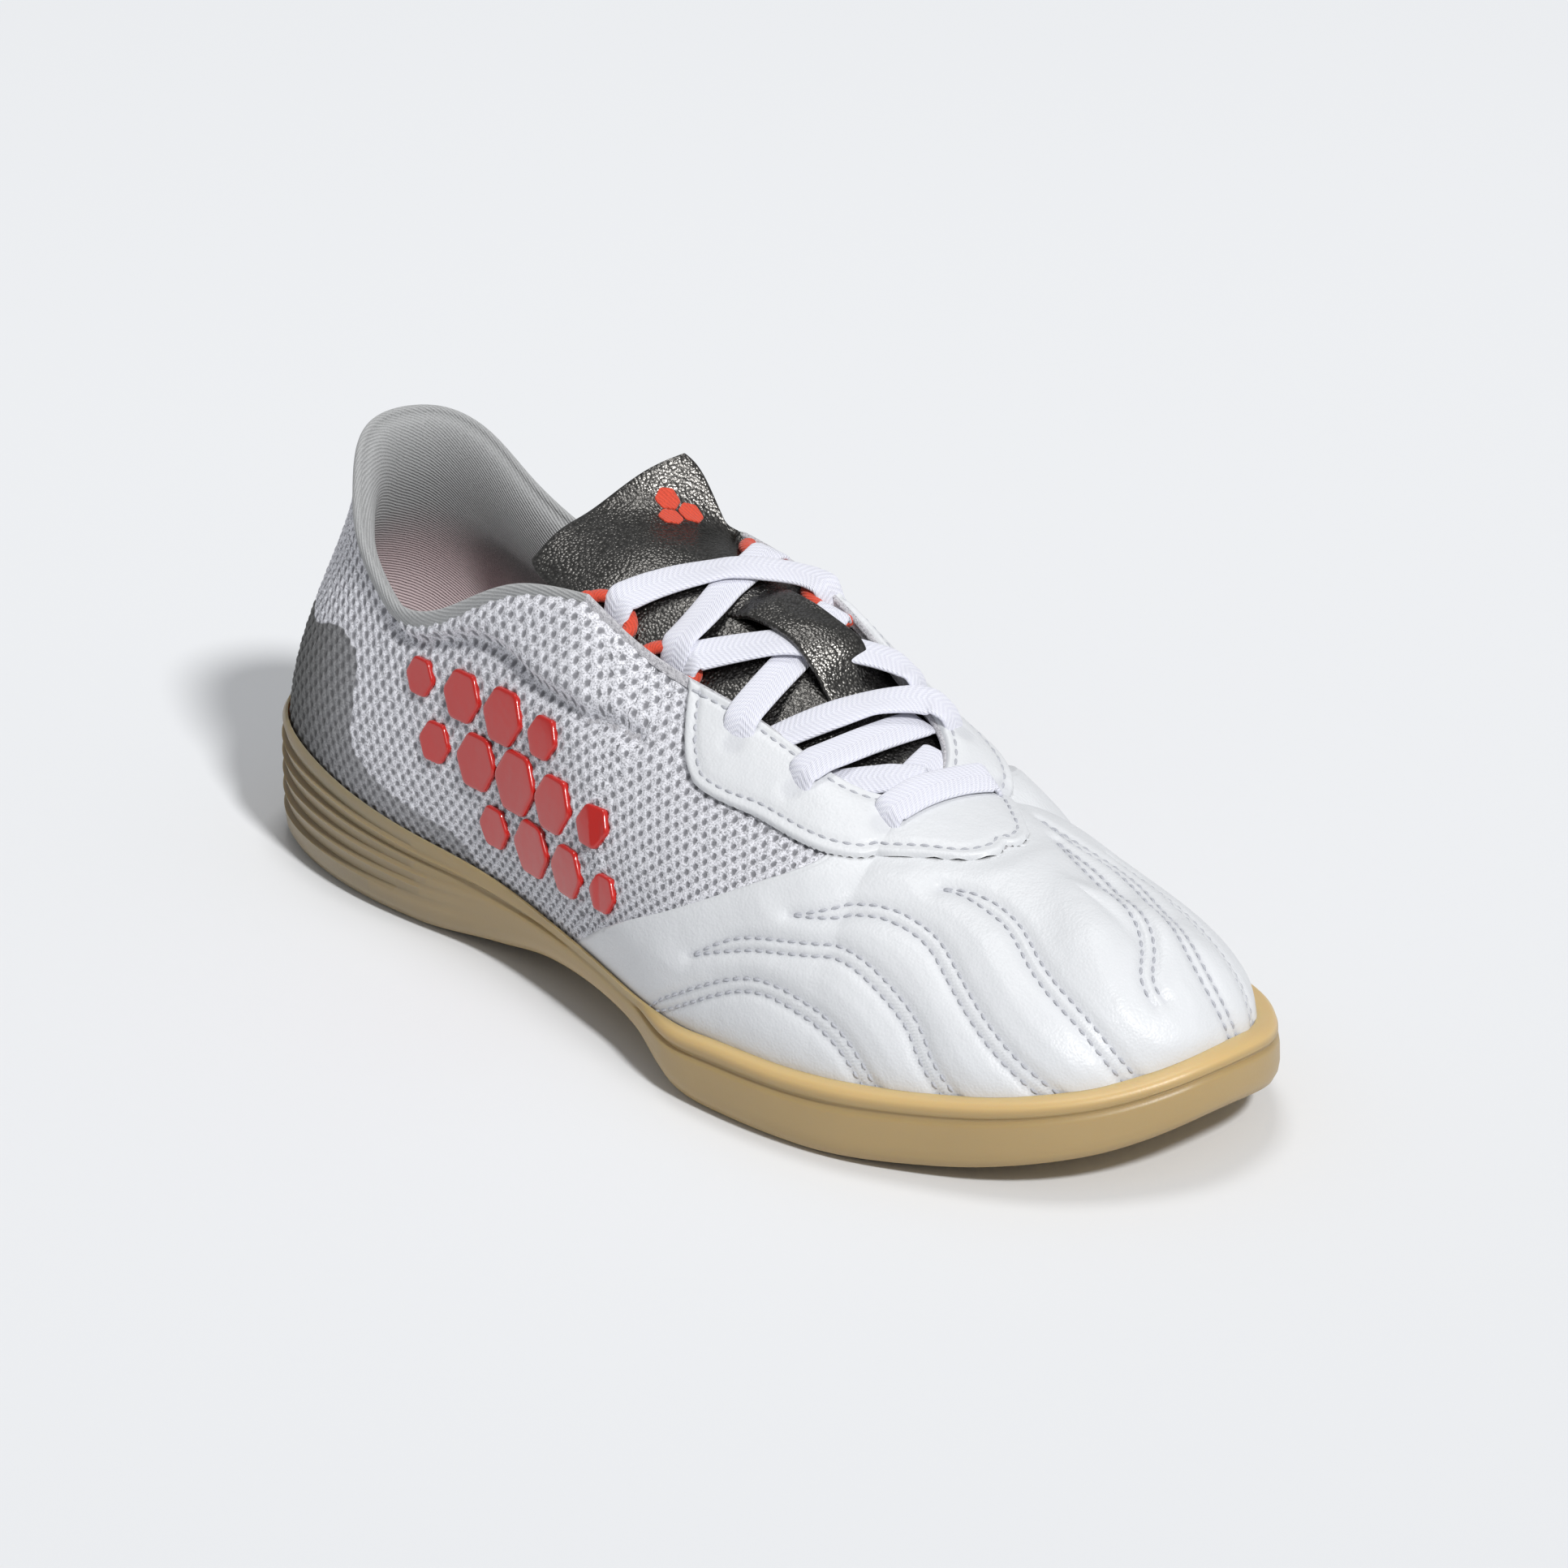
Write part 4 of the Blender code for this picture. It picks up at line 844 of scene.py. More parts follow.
def raw_knit():
    """The frayed white back of the mesh, seen at the throat's edge."""
    colour = (0.72, 0.71, 0.74)
    made = Finish("raw_knit", colour, 0.9, Sheen_Weight=0.2)
    tuft = made.noise(1500.0, 4.0, 0.75)
    made.shade(Base_Color=made.mix(made.ramp(tuft, 0.3, 0.6), (0.34, 0.33, 0.36), colour))
    made.shade(Normal=made.bump(tuft, 0.0007, 1.0))
    return made


def gum_rubber():
    """Pale tan translucent rubber, with painted shade at the heel and painted light along the forefoot's
    lip.
    """
    colour = tuple(look().gum_colour)
    glow = {"Subsurface_Weight": 0.35, "Subsurface_Radius": (0.008, 0.005, 0.002), "Subsurface_Scale": 0.6}
    made = Finish("gum_rubber", colour, 0.40, **glow)
    cloud = made.noise(40.0, 3.0)
    speck = made.noise(2400.0, 2.0)
    tone = made.mix(cloud, shaded(colour, 0.92), shaded(colour, 1.05))
    # Painted shade: the gum is painted darker and greyer towards the heel, which lies out of the key light.
    heel_painted_shade = made.math("SUBTRACT", 1.0, made.ramp(made.forward(), -0.085, 0.0))
    tone = made.mix(heel_painted_shade, tone, (0.285, 0.222, 0.130))
    # Painted light: the top of the forefoot's lip is painted lighter, a painted glow of light through the
    # thin rubber and a painted highlight.
    tone = made.mix(made.layer("lip"), tone, shaded(colour, 1.45))
    made.shade(Base_Color=tone)
    made.shade(Roughness=made.math("MULTIPLY_ADD", speck, 0.12, 0.34))
    made.shade(Normal=made.bump(made.math("ADD", made.math("MULTIPLY", speck, 0.15), cloud), 0.0004, 0.35))
    return made


def woven_lace():
    """White flat woven lace with a herringbone weave."""
    colour = tuple(look().lace_colour)
    made = Finish("woven_lace", colour, 0.8, Sheen_Weight=0.2)
    u, v = made.uv()
    side = made.math("ABSOLUTE", v)
    chevron = made.math("MULTIPLY_ADD", side, 1.7, u)
    strand = made.wave(chevron, 0.00105)
    across = made.wave(v, 0.00092)
    fuzz = made.noise(3500.0, 2.0)
    weave = made.math("MULTIPLY_ADD", made.math("MULTIPLY", strand, across), 0.5, 0.5)
    shade = made.math("MULTIPLY_ADD", fuzz, 0.5, made.math("MULTIPLY", weave, 0.75), clamp=True)
    made.shade(Base_Color=made.mix(shade, tuple(c * s for c, s in zip(colour, (0.76, 0.76, 0.82))), colour))
    made.shade(Normal=made.bump(made.math("MULTIPLY_ADD", fuzz, 0.3, weave), 0.00018, 0.9))
    return made


def glossy_film():
    """Orange-red heat-pressed film."""
    colour = tuple(look().accent_colour)
    made = Finish("glossy_film", colour, 0.22, Coat_Weight=0.5, Coat_Roughness=0.08)
    cloud = made.noise(60.0, 2.0)
    through = made.noise(380.0, 1.0)
    made.shade(Base_Color=made.mix(cloud, shaded(colour, 0.86), colour))
    made.shade(Normal=made.bump(through, 0.0003, 0.35))
    return made


def webbing(name, colour):
    """Closely woven cord."""
    made = Finish(name, colour, 0.75, Sheen_Weight=0.2)
    u, v = made.uv()
    twill = made.wave(made.math("ADD", u, v), 0.0009)
    fuzz = made.noise(3000.0, 2.0)
    shade = made.math("MULTIPLY_ADD", twill, 0.25, fuzz, clamp=True)
    made.shade(Base_Color=made.mix(shade, shaded(colour, 0.66), colour))
    made.shade(Normal=made.bump(made.math("MULTIPLY_ADD", twill, 0.4, fuzz), 0.0002, 0.8))
    return made


def sewing_thread():
    """Grey polyester thread."""
    colour = tuple(look().thread_colour)
    made = Finish("sewing_thread", colour, 0.7)
    twist = made.noise(5000.0, 1.0)
    made.shade(Base_Color=made.mix(twist, shaded(colour, 0.7), shaded(colour, 1.15)))
    made.shade(Normal=made.bump(twist, 0.0001, 0.6))
    return made


def insole_cover():
    """Brushed knit over foam."""
    made = Finish("insole_cover", (0.19, 0.15, 0.155), 0.9, Sheen_Weight=0.25)
    fuzz = made.noise(2200.0, 4.0, 0.7)
    made.shade(Base_Color=made.mix(fuzz, (0.12, 0.095, 0.10), (0.27, 0.23, 0.235)))
    made.shade(Normal=made.bump(fuzz, 0.0004, 0.9))
    return made


class ShoeLook(bpy.types.PropertyGroup):
    """Sizes and colours of the shoe's visible surfaces."""

    weave_pitch: bpy.props.FloatProperty(
        name="Weave pitch", description="Holes of the mesh, side by side", default=0.00275, unit="LENGTH"
    )
    weave_rows: bpy.props.FloatProperty(
        name="Weave rows", description="Rows of holes of the mesh, one above the other",
        default=0.0024, unit="LENGTH",
    )
    weave_depth: bpy.props.FloatProperty(
        name="Weave depth", description="Knots of the mesh over its holes", default=0.00065, unit="LENGTH"
    )
    seam_gap: bpy.props.FloatProperty(
        name="Seam gap", description="Between the two rows of a double seam", default=0.0023, unit="LENGTH"
    )
    seam_depth: bpy.props.FloatProperty(
        name="Seam depth", description="How far a seam pulls the leather in", default=0.0007, unit="LENGTH"
    )
    stitch_length: bpy.props.FloatProperty(
        name="Stitch length", description="One stitch of a seam", default=0.0017, unit="LENGTH"
    )
    stitch_gap: bpy.props.FloatProperty(
        name="Stitch gap", description="Between two stitches of a seam", default=0.0007, unit="LENGTH"
    )
    facing_thickness: bpy.props.FloatProperty(
        name="Facing thickness", description="Leather of the eyestay", default=0.0013, unit="LENGTH"
    )
    lace_width: bpy.props.FloatProperty(
        name="Lace width", description="Width of the flat lace", default=0.0068, unit="LENGTH"
    )
    lace_thickness: bpy.props.FloatProperty(
        name="Lace thickness", description="Thickness of the flat lace", default=0.0014, unit="LENGTH"
    )
    tile_size: bpy.props.FloatProperty(
        name="Tile size", description="Across the flats of the largest tile", default=0.0118, unit="LENGTH"
    )
    mesh_colour: bpy.props.FloatVectorProperty(
        name="Mesh", description="Colour of the mesh", default=(0.87, 0.87, 0.92), subtype="COLOR"
    )
    leather_colour: bpy.props.FloatVectorProperty(
        name="Leather", description="Colour of the vamp and eyestay",
        default=(0.72, 0.732, 0.75), subtype="COLOR",
    )
    tongue_colour: bpy.props.FloatVectorProperty(
        name="Tongue", description="Colour of the metallic leather",
        default=(0.150, 0.145, 0.137), subtype="COLOR",
    )
    lining_colour: bpy.props.FloatVectorProperty(
        name="Lining", description="Colour of the ribbed lining",
        default=(0.45, 0.455, 0.455), subtype="COLOR",
    )
    gum_colour: bpy.props.FloatVectorProperty(
        name="Gum", description="Colour of the sole", default=(0.43, 0.305, 0.138), subtype="COLOR"
    )
    lace_colour: bpy.props.FloatVectorProperty(
        name="Lace", description="Colour of the lace", default=(0.86, 0.865, 0.93), subtype="COLOR"
    )
    accent_colour: bpy.props.FloatVectorProperty(
        name="Accent", description="Colour of the glossy tiles",
        default=(0.54, 0.012, 0.007), subtype="COLOR",
    )
    loop_colour: bpy.props.FloatVectorProperty(
        name="Loops", description="Colour of the lace loops and the badge",
        default=(0.80, 0.075, 0.03), subtype="COLOR",
    )
    thread_colour: bpy.props.FloatVectorProperty(
        name="Thread", description="Colour of the seams", default=(0.50, 0.51, 0.55), subtype="COLOR"
    )


def surface_lengths(points):
    """How far round the shoe and how far up its piece each point of a grid lies."""
    return np.stack([contour_lengths(points), arc(points, 1)], axis=-1)


def quarter_grid(side, columns, rows):
    """Stations and shares over one side of the mesh quarter."""
    shares = np.linspace(0, 1, rows)
    edge = ease(shares, VAMP_EDGE) + VAMP_OVERLAP
    stations = np.linspace(0, 1, columns)[:, None] * edge[None, :]
    if side:
        stations = LOOP - stations[::-1]
    return stations, np.broadcast_to(shares, stations.shape)


def make_quarter(name, side, finish):
    """One side of the mesh quarter, with its knots, the collar's crease and its swell."""
    stations, shares = quarter_grid(side, 440, 150)
    points = on_last(stations, shares)
    uv = surface_lengths(points)
    crease = nearest(points, [dense_line(mirrored(COLLAR_CREASE) if side else COLLAR_CREASE)])
    section, _ = sides_of(stations)
    above = smooth_step(shares - ease(section, COLLAR_CREASE), -0.02, 0.05) * smooth_step(section, 3.6, 5.2)
    above *= 1 - smooth_step(section, 8.2, 9.2)
    swell = COLLAR_SWELL * above * smooth_step(1 - shares, 0.0, 0.10)
    fold = -0.0017 * bell(crease, 0.0021)
    print_line = dense_line(mirrored(PRINT_EDGE)[::-1] if side else PRINT_EDGE, by_ease=True)
    to_edge = nearest(points, [print_line])
    inside = shares < np.where(section < 6.2, ease(section, PRINT_EDGE), -1)
    edge = np.where(inside, to_edge, -to_edge)
    weave = weave_height(*np.moveaxis(uv, -1, 0)) * look().weave_depth / 2
    settled = smooth_step(shares, 0.03, 0.10) * smooth_step(1 - shares, 0.0, 0.03)
    lift = -0.0003 + (weave + swell + fold) * settled
    mesh = grid_mesh(name, points, uv=uv, layers={"print_edge": edge}, lift=lift)
    return put(name, mesh, finish)


class SHOE_OT_quarters(bpy.types.Operator):
    """Builds both sides of the mesh quarter."""

    bl_idname = "shoe.quarters"
    bl_label = "Mesh quarters"

    def execute(self, context):
        finish = mesh_fabric()
        made = make_quarter("quarter_lateral", 0, finish)
        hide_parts("upper")
        make_quarter("quarter_medial", 1, finish)
        return {"FINISHED"}


def seam_rows(seam):
    """The two rows of a double seam, which close up at its ends, as even lines on the last."""
    places = spline(np.array(seam, float), np.linspace(0, len(seam) - 1, 40 * len(seam)))
    centre = on_last(places[:, 0], places[:, 1])
    normal = last_normals(places[:, 0], places[:, 1])
    side = unit(np.cross(normal, np.gradient(centre, axis=0)))
    length = arc(centre)
    apart = look().seam_gap / 2 * smooth_step(length, -0.002, 0.012)
    return [evenly(centre + side * (sign * apart)[:, None]) for sign in (-1, 1)]


def make_vamp(finish):
    """The leather vamp, quilted by its double seams."""
    shares = np.concatenate([np.linspace(0, 0.9, 100), np.linspace(0.9, 1, 21)[1:]])
    edge = ease(shares, VAMP_EDGE)
    stations = edge + np.linspace(0, 1, 380)[:, None] * (LOOP - 2 * edge)[None, :]
    shares = np.broadcast_to(shares, stations.shape)
    points = on_last(stations, shares)
    lines = [line for seam in SEAMS for line in seam_rows(seam)]
    apart = nearest(points, lines)
    along = arc(points, 0)
    border = np.minimum(along, along[-1:] - along)
    trough = -look().seam_depth * bell(apart, 0.0012)
    puff = PUFF_HEIGHT * (1 - bell(apart, 0.0055))
    section, _ = sides_of(stations)
    open_edge = smooth_step(1 - shares, 0.0, 0.03) * (section < THROAT_END) + (section >= THROAT_END)
    stay = nearest(points, [dense_line(side) for side in (EYESTAY_OUTER, mirrored(EYESTAY_OUTER))])
    covered = (section < EYESTAY_OUTER[-1][0]) & (shares > ease(section, EYESTAY_OUTER[4:]))
    stay = np.where(covered, -stay, stay)
    puff = puff * smooth_step(stay, 0.0, 0.006)
    settled = smooth_step(shares, 0.10, 0.24)
    rim = np.sqrt(np.clip(border / 0.0006, 0, 1))
    lift = (0.0004 + trough + puff * settled) * rim * smooth_step(shares, 0.04, 0.13) - 0.0006 * (1 - rim)
    lift = lift * open_edge - 0.0007 * (1 - smooth_step(stay, -0.0015, 0.0005))
    lift -= 0.0002 * bell(border - 0.0012, 0.0004)
    # The crease layer marks where the leather's material paints shade along the seams.
    crease = bell(apart, 0.0007)
    relax = ((section > 16) & (shares > 0.86)).astype(float)
    uv = surface_lengths(points)
    mesh = grid_mesh("vamp", points, uv=uv, layers={"crease": crease}, lift=lift, relax=relax)
    return put("vamp", mesh, finish)


class SHOE_OT_vamp(bpy.types.Operator):
    """Builds the leather vamp."""

    bl_idname = "shoe.vamp"
    bl_label = "Vamp"

    def execute(self, context):
        make_vamp(grained_leather())
        return {"FINISHED"}


def make_lining(name, first, last, per_section, finish):
    """The rolled rim and the inside of the upper over a range of stations."""
    stations = np.linspace(first, last, int((last - first) * per_section) + 1)
    section, _ = sides_of(stations)
    open_edge = smooth_step(THROAT_END + 0.3 - section, 0, 0.5)
    padded = 1 - smooth_step(section, 6.0, 8.2)
    edge = on_last(stations, 1.0)
    normal = last_normals(stations, 0.985)
    upward = unit(edge - on_last(stations, 0.97))
    out, thin = 0.0004, 0.0008 + 0.0006 * padded
    columns = []
    for share in (0.955, 0.975, 0.99):
        columns.append(on_last(stations, share, out * float(smooth_step(share, 0.95, 0.99))))
    half = (thin + out) / 2
    middle = edge + normal * (out - half)[:, None]
    high = (0.0005 + 0.0008 * padded) * open_edge
    for angle in np.linspace(0, np.pi, 12):
        round_edge = normal * (half * np.cos(angle))[:, None] + upward * (high * np.sin(angle))[:, None]
        columns.append(middle + round_edge)
    rim = len(columns)
    shares = np.concatenate([np.linspace(1, 0.55, 36)[1:], np.linspace(0.55, 0, 14)[1:]])
    grid_stations, grid_shares = np.meshgrid(stations, shares, indexing="ij")
    outer = on_last(grid_stations, grid_shares)
    down = np.linalg.norm(outer - edge[:, None], axis=-1)
    soft = (0.0012 + 0.0115 * padded)[:, None]
    swell = np.sqrt(1 - (1 - np.clip(down / soft, 0, 1)) ** 2)
    wall = UPPER_WALL + (COLLAR_PAD - UPPER_WALL) * padded[:, None] * smooth_step(grid_shares, 0.35, 0.72)
    thickness = thin[:, None] + (wall - thin[:, None]) * swell
    inner = on_last(grid_stations, grid_shares, -thickness)
    columns += [inner[:, k] for k in range(len(shares))]
    # The depth layer sets where the lining's material paints the inside lighter.
    depth = np.concatenate([np.zeros((len(stations), rim)), down], axis=1)
    points = np.stack(columns, axis=1)
    mesh = grid_mesh(name, points, uv=surface_lengths(points), layers={"depth": depth})
    return put(name, mesh, finish)


class SHOE_OT_linings(bpy.types.Operator):
    """Builds the collar's lining and the forefoot's."""

    bl_idname = "shoe.linings"
    bl_label = "Linings"

    def execute(self, context):
        lining = make_lining("collar_lining", -THROAT_TOP, THROAT_TOP, 18, ribbed_knit())
        make_lining("forefoot_lining", THROAT_TOP, LOOP - THROAT_TOP, 12, raw_knit())
        return {"FINISHED"}


def eyestay_grid():
    """Stations and shares over the eyestay, in rows from the throat's edge to its outer edge."""
    past_ridge = [(station, 2 - share) for station, share in EYESTAY_OUTER[-2:-5:-1]]
    unfolded = np.array(EYESTAY_OUTER + past_ridge)
    outer = spline(unfolded, np.linspace(0, len(EYESTAY_OUTER) - 1, 600))
    length = arc(np.column_stack([outer[:, 0] * 0.013, outer[:, 1] * 0.06]))
    fine = np.linspace(0, length[-1], 161)
    outer = np.column_stack([np.interp(fine, length, outer[:, k]) for k in (0, 1)])
    down_throat = np.interp(fine, fine[[0, 100, 160]], (EYESTAY_TOP, THROAT_END, THROAT_END))
    inner = np.column_stack([down_throat, np.ones(161)])
    across = crowded(22, 0.06, 5)
    rows = inner[:, None] + (outer - inner)[:, None] * across[None, :, None]
    medial = rows[::-1][1:].copy()
    medial[..., 0] = LOOP - medial[..., 0]
    return np.concatenate([rows, medial]), outer


def eyestay_surface(inward=False):
    """The eyestay's points on the last, and how far each lies from its outer edge and the throat's."""
    places, outer = eyestay_grid()
    if inward:
        places = places[:, ::-1]
    points = on_last(places[..., 0], np.minimum(places[..., 1], 1.0))
    rim = [dense_line(side) for side in (outer, mirrored(outer))]
    return points, nearest(points, rim), nearest(points, [throat_edge()])


def eyestay_seams():
    """The eyestay's two seams, inside its outer edge and the throat's edge."""
    points, to_outer, to_throat = eyestay_surface()
    seams = []
    for gap, far, from_end in ((OUTER_SEAM, to_outer, True), (THROAT_SEAM, to_throat, False)):
        line = []
        for row, apart in zip(points, far):
            if from_end:
                row, apart = row[::-1], apart[::-1]
            limit = np.argmax(apart > gap)
            if apart[limit] > gap and limit > 0:
                share = (gap - apart[limit - 1]) / (apart[limit] - apart[limit - 1])
                line.append(row[limit - 1] + (row[limit] - row[limit - 1]) * share)
        line = np.array(line)
        kept = np.concatenate([[True], np.linalg.norm(np.diff(line, axis=0), axis=1) > 0.0001])
        seams.append(line[kept])
    return seams


def throat_edge():
    """The throat's edge, from the top of the lateral side round to the top of the medial one."""
    lateral = np.linspace(EYESTAY_TOP, THROAT_END, 450)
    stations = np.concatenate([lateral, np.linspace(LOOP - THROAT_END, LOOP - EYESTAY_TOP, 450)])
    return on_last(stations, 1.0)


def make_eyestay(finish):
    """The leather facing round the throat, with pits at its lace holes and seams along its edges."""
    points, to_outer, to_throat = eyestay_surface(inward=True)
    thick = look().facing_thickness
    border = np.minimum(to_outer, to_throat)
    edge = np.sqrt(np.clip(1 - (1 - np.clip(border / 0.0008, 0, 1)) ** 2, 0, 1))
    seam = bell(to_outer - OUTER_SEAM, 0.0006) + 0.8 * bell(to_throat - THROAT_SEAM, 0.0006)
    holes = [hole_place(side, row) for side in LACE_HOLES for row in range(3)]
    to_hole = np.min([np.linalg.norm(points - hole, axis=-1) for hole in holes], axis=0)
    pit = 1 - smooth_step(to_hole, 0.0012, 0.0034)
    lift = -0.0003 + (thick + 0.0004) * edge - 0.0004 * seam * edge - 0.0003 * pit
    # The crease layer marks where the leather's material paints shade along the seams and at the lace-hole
    # pits.
    layers = {"crease": np.clip(0.6 * seam + 0.8 * pit, 0, 1)}
    uv = surface_lengths(points)
    mesh = grid_mesh("eyestay_facing", points, uv=uv, layers=layers, lift=lift, weld=0.00003)
    return put("eyestay_facing", mesh, finish, ["eyestay"])


class SHOE_OT_eyestay(bpy.types.Operator):
    """Builds the leather facing round the throat."""

    bl_idname = "shoe.eyestay"
    bl_label = "Eyestay"

    def execute(self, context):
        make_eyestay(grained_leather("facing_leather"))
        return {"FINISHED"}


def tongue_anchors(section):
    """Five places across the tongue at a section of the last, from its lateral to its medial side."""
    margin, rise = (float(ease(section, [(row[0], row[k]) for row in TONGUE])) for k in (1, 2))
    shares = np.array([1, 1 - 0.35 * margin, 1 - margin])
    lateral, medial = (on_last(station, shares, -TONGUE_DEPTH) for station in (section, LOOP - section))
    middle = (lateral[0] + medial[0]) / 2 + np.array([0, 0, rise])
    return np.array([lateral[2], lateral[1], middle, medial[1], medial[2]])


def tongue_tip():
    """The same five places at the tongue's free end."""
    ends = top_line([THROAT_TOP, LOOP - THROAT_TOP]) + SHIFT
    starts = (ends[0], ends.mean(axis=0), ends[1])
    places = []
    for start, (back, inward, up), side in zip(starts, TONGUE_TIP, (1, 0, -1)):
        places.append(start + np.array([-back, side * inward, up]) * TONGUE_LENGTH)
    swell = np.array([0, 0, 0.05 * TONGUE_LENGTH])
    between = [(places[0] + places[1]) / 2 + swell, (places[1] + places[2]) / 2 + swell]
    return np.array([places[0], between[0], places[1], between[1], places[2]])


def tongue_grid(across, down, tip_steps):
    """The tongue's outer surface, from under the vamp to its free end."""
    sections = np.linspace(TONGUE[-1][0], THROAT_TOP, down)
    rows = [spline(tongue_anchors(section), across) for section in sections]
    base, tip = tongue_anchors(THROAT_TOP), tongue_tip()
    for share in tip_steps[1:]:
        narrow = 1 - 0.10 * smooth_step(share, 0.80, 1.03) ** 2
        rows.append(spline(base + (tip - base) * share, 2 + (across - 2) * narrow))
    return np.array(rows)


def make_tongue(finish):
    """The tongue, with rounded edges."""
    across = crowded(60, 0.02) * 4
    tip_steps = np.concatenate([np.linspace(0, 0.94, 26), 1 - 0.06 * (np.arange(5)[::-1] / 5) ** 1.5])
    points = tongue_grid(across, 90, tip_steps)
    kernel = np.array([1, 4, 6, 4, 1]) / 16
    for _ in range(12):
        padded = np.concatenate([points[:1]] * 2 + [points] + [points[-1:]] * 2)
        smooth = sum(w * padded[k : k + len(points)] for k, w in enumerate(kernel))
        points[2:-2] = smooth[2:-2]
    mesh = pillow("tongue_leather", points[:, ::-1], TONGUE_DEPTH, 0.0013, low=0.9)
    made = put("tongue_leather", mesh, finish, ["tongue"])
    return made


class SHOE_OT_tongue(bpy.types.Operator):
    """Builds the tongue."""

    bl_idname = "shoe.tongue"
    bl_label = "Tongue"

    def execute(self, context):
        make_tongue(metallic_leather())
        return {"FINISHED"}


def tree_of(*things):
    """A tree that rays can meet, of some pieces."""
    points, faces = [], []
    for thing in things:
        start = len(points)
        points += [v.co[:] for v in thing.data.vertices]
        faces += [[start + i for i in face.vertices] for face in thing.data.polygons]
    return BVHTree.FromPolygons(points, faces)


def height_at(tree, x, y, least=None):
    """The highest surface of a tree at a place in plan."""
    hit = tree.ray_cast(Vector((x, y, 1.0)), Vector((0, 0, -1)))[0]
    return hit.z if hit is not None else least


def make_keeper(tongue, held):
    """The strap that holds the lace, cut from the tongue's leather by two slits."""
    finish = metallic_leather("keeper_leather")
    start, end = (spline(tongue_anchors(section), 2.0 + past)[0] for section, past in KEEPER_ENDS)
    run = (end - start)[:2]
    side = unit(np.array([-run[1], run[0]])) * KEEPER_WIDTH / 2
    along, across = crowded(48, 0.03), crowded(12, 0.08) * 2 - 1
    columns = []
    for k in across:
        plan = start[:2] + run * along[:, None] + side * k * (1 + 0.30 * (2 * along - 1)[:, None] ** 4)
        low = np.array([height_at(tongue, x, y, start[2]) for x, y in plan])
        high = low + KEEPER_ARCH * smooth_step(np.minimum(along, 1 - along), 0.02, 0.25)
        for tree in held:
            over = np.array([height_at(tree, x, y, -1.0) for x, y in plan])
            high = np.maximum(high, over + OVER_LACE)
        free = (along > 0.10) & (along < 0.86)
        height = low + 0.0002
        high[free.argmax()] = low[free.argmax()]
        last = len(along) - 1 - free[::-1].argmax()
        high[last] = low[last]
        height[free] = hull_over(along[free], high[free]) + 0.0002
        columns.append(np.column_stack([plan, soften(height, 4) - 0.0003 * k * k]))
    points = np.stack(columns, axis=1)
    soften(points[..., 2].T, 3)
    mesh = pillow("keeper_strap", points, KEEPER_THICKNESS, 0.0006)
    return put("keeper_strap", mesh, finish, ["lace_keeper"])


def between_sides(edge, across):
    """A grid from the lateral half of a closed line to its medial half."""
    half = len(edge) // 2
    lateral, medial = edge[: half + 1], np.concatenate([edge[:1], edge[: half - 1 : -1]])
    return lateral[:, None] + (medial - lateral)[:, None] * across[None, :, None]


def last_offset(stations, heights):
    """Points of the last at the given heights, and how far outside the feather line they lie."""
    low, high = np.zeros(len(stations)), np.full(len(stations), 0.8)
    for _ in range(24):
        middle = (low + high) / 2
        under = last_points(stations, middle)[:, 2] < heights
        low, high = np.where(under, middle, low), np.where(under, high, middle)
    points = last_points(stations, (low + high) / 2)
    feather, out = feather_line(stations)
    return points, ((points - feather) * out).sum(axis=1)


def tread_relief(tread, edge):
    """Depth of the tread's zigzag grooves, away from its edge and the waist."""
    to_edge = nearest(tread, [edge])
    x, y = tread[..., 0], tread[..., 1]
    zigzag = np.abs((y / ZIGZAG_PITCH) % 1.0 - 0.5) * ZIGZAG_SWING
    line = np.abs(((x + zigzag) / TREAD_PITCH) % 1.0 - 0.5) * TREAD_PITCH
    groove = 1 - smooth_step(line, 0.0006, 0.0014)
    rim = bell(to_edge - TREAD_RIM, 0.0009)
    inside = smooth_step(to_edge, TREAD_RIM + 0.0008, TREAD_RIM + 0.0020)
    grounded = 1 - smooth_step(tread[..., 2], 0.0020, 0.0060)
    return TREAD_DEPTH * np.maximum(groove * inside, rim) * grounded


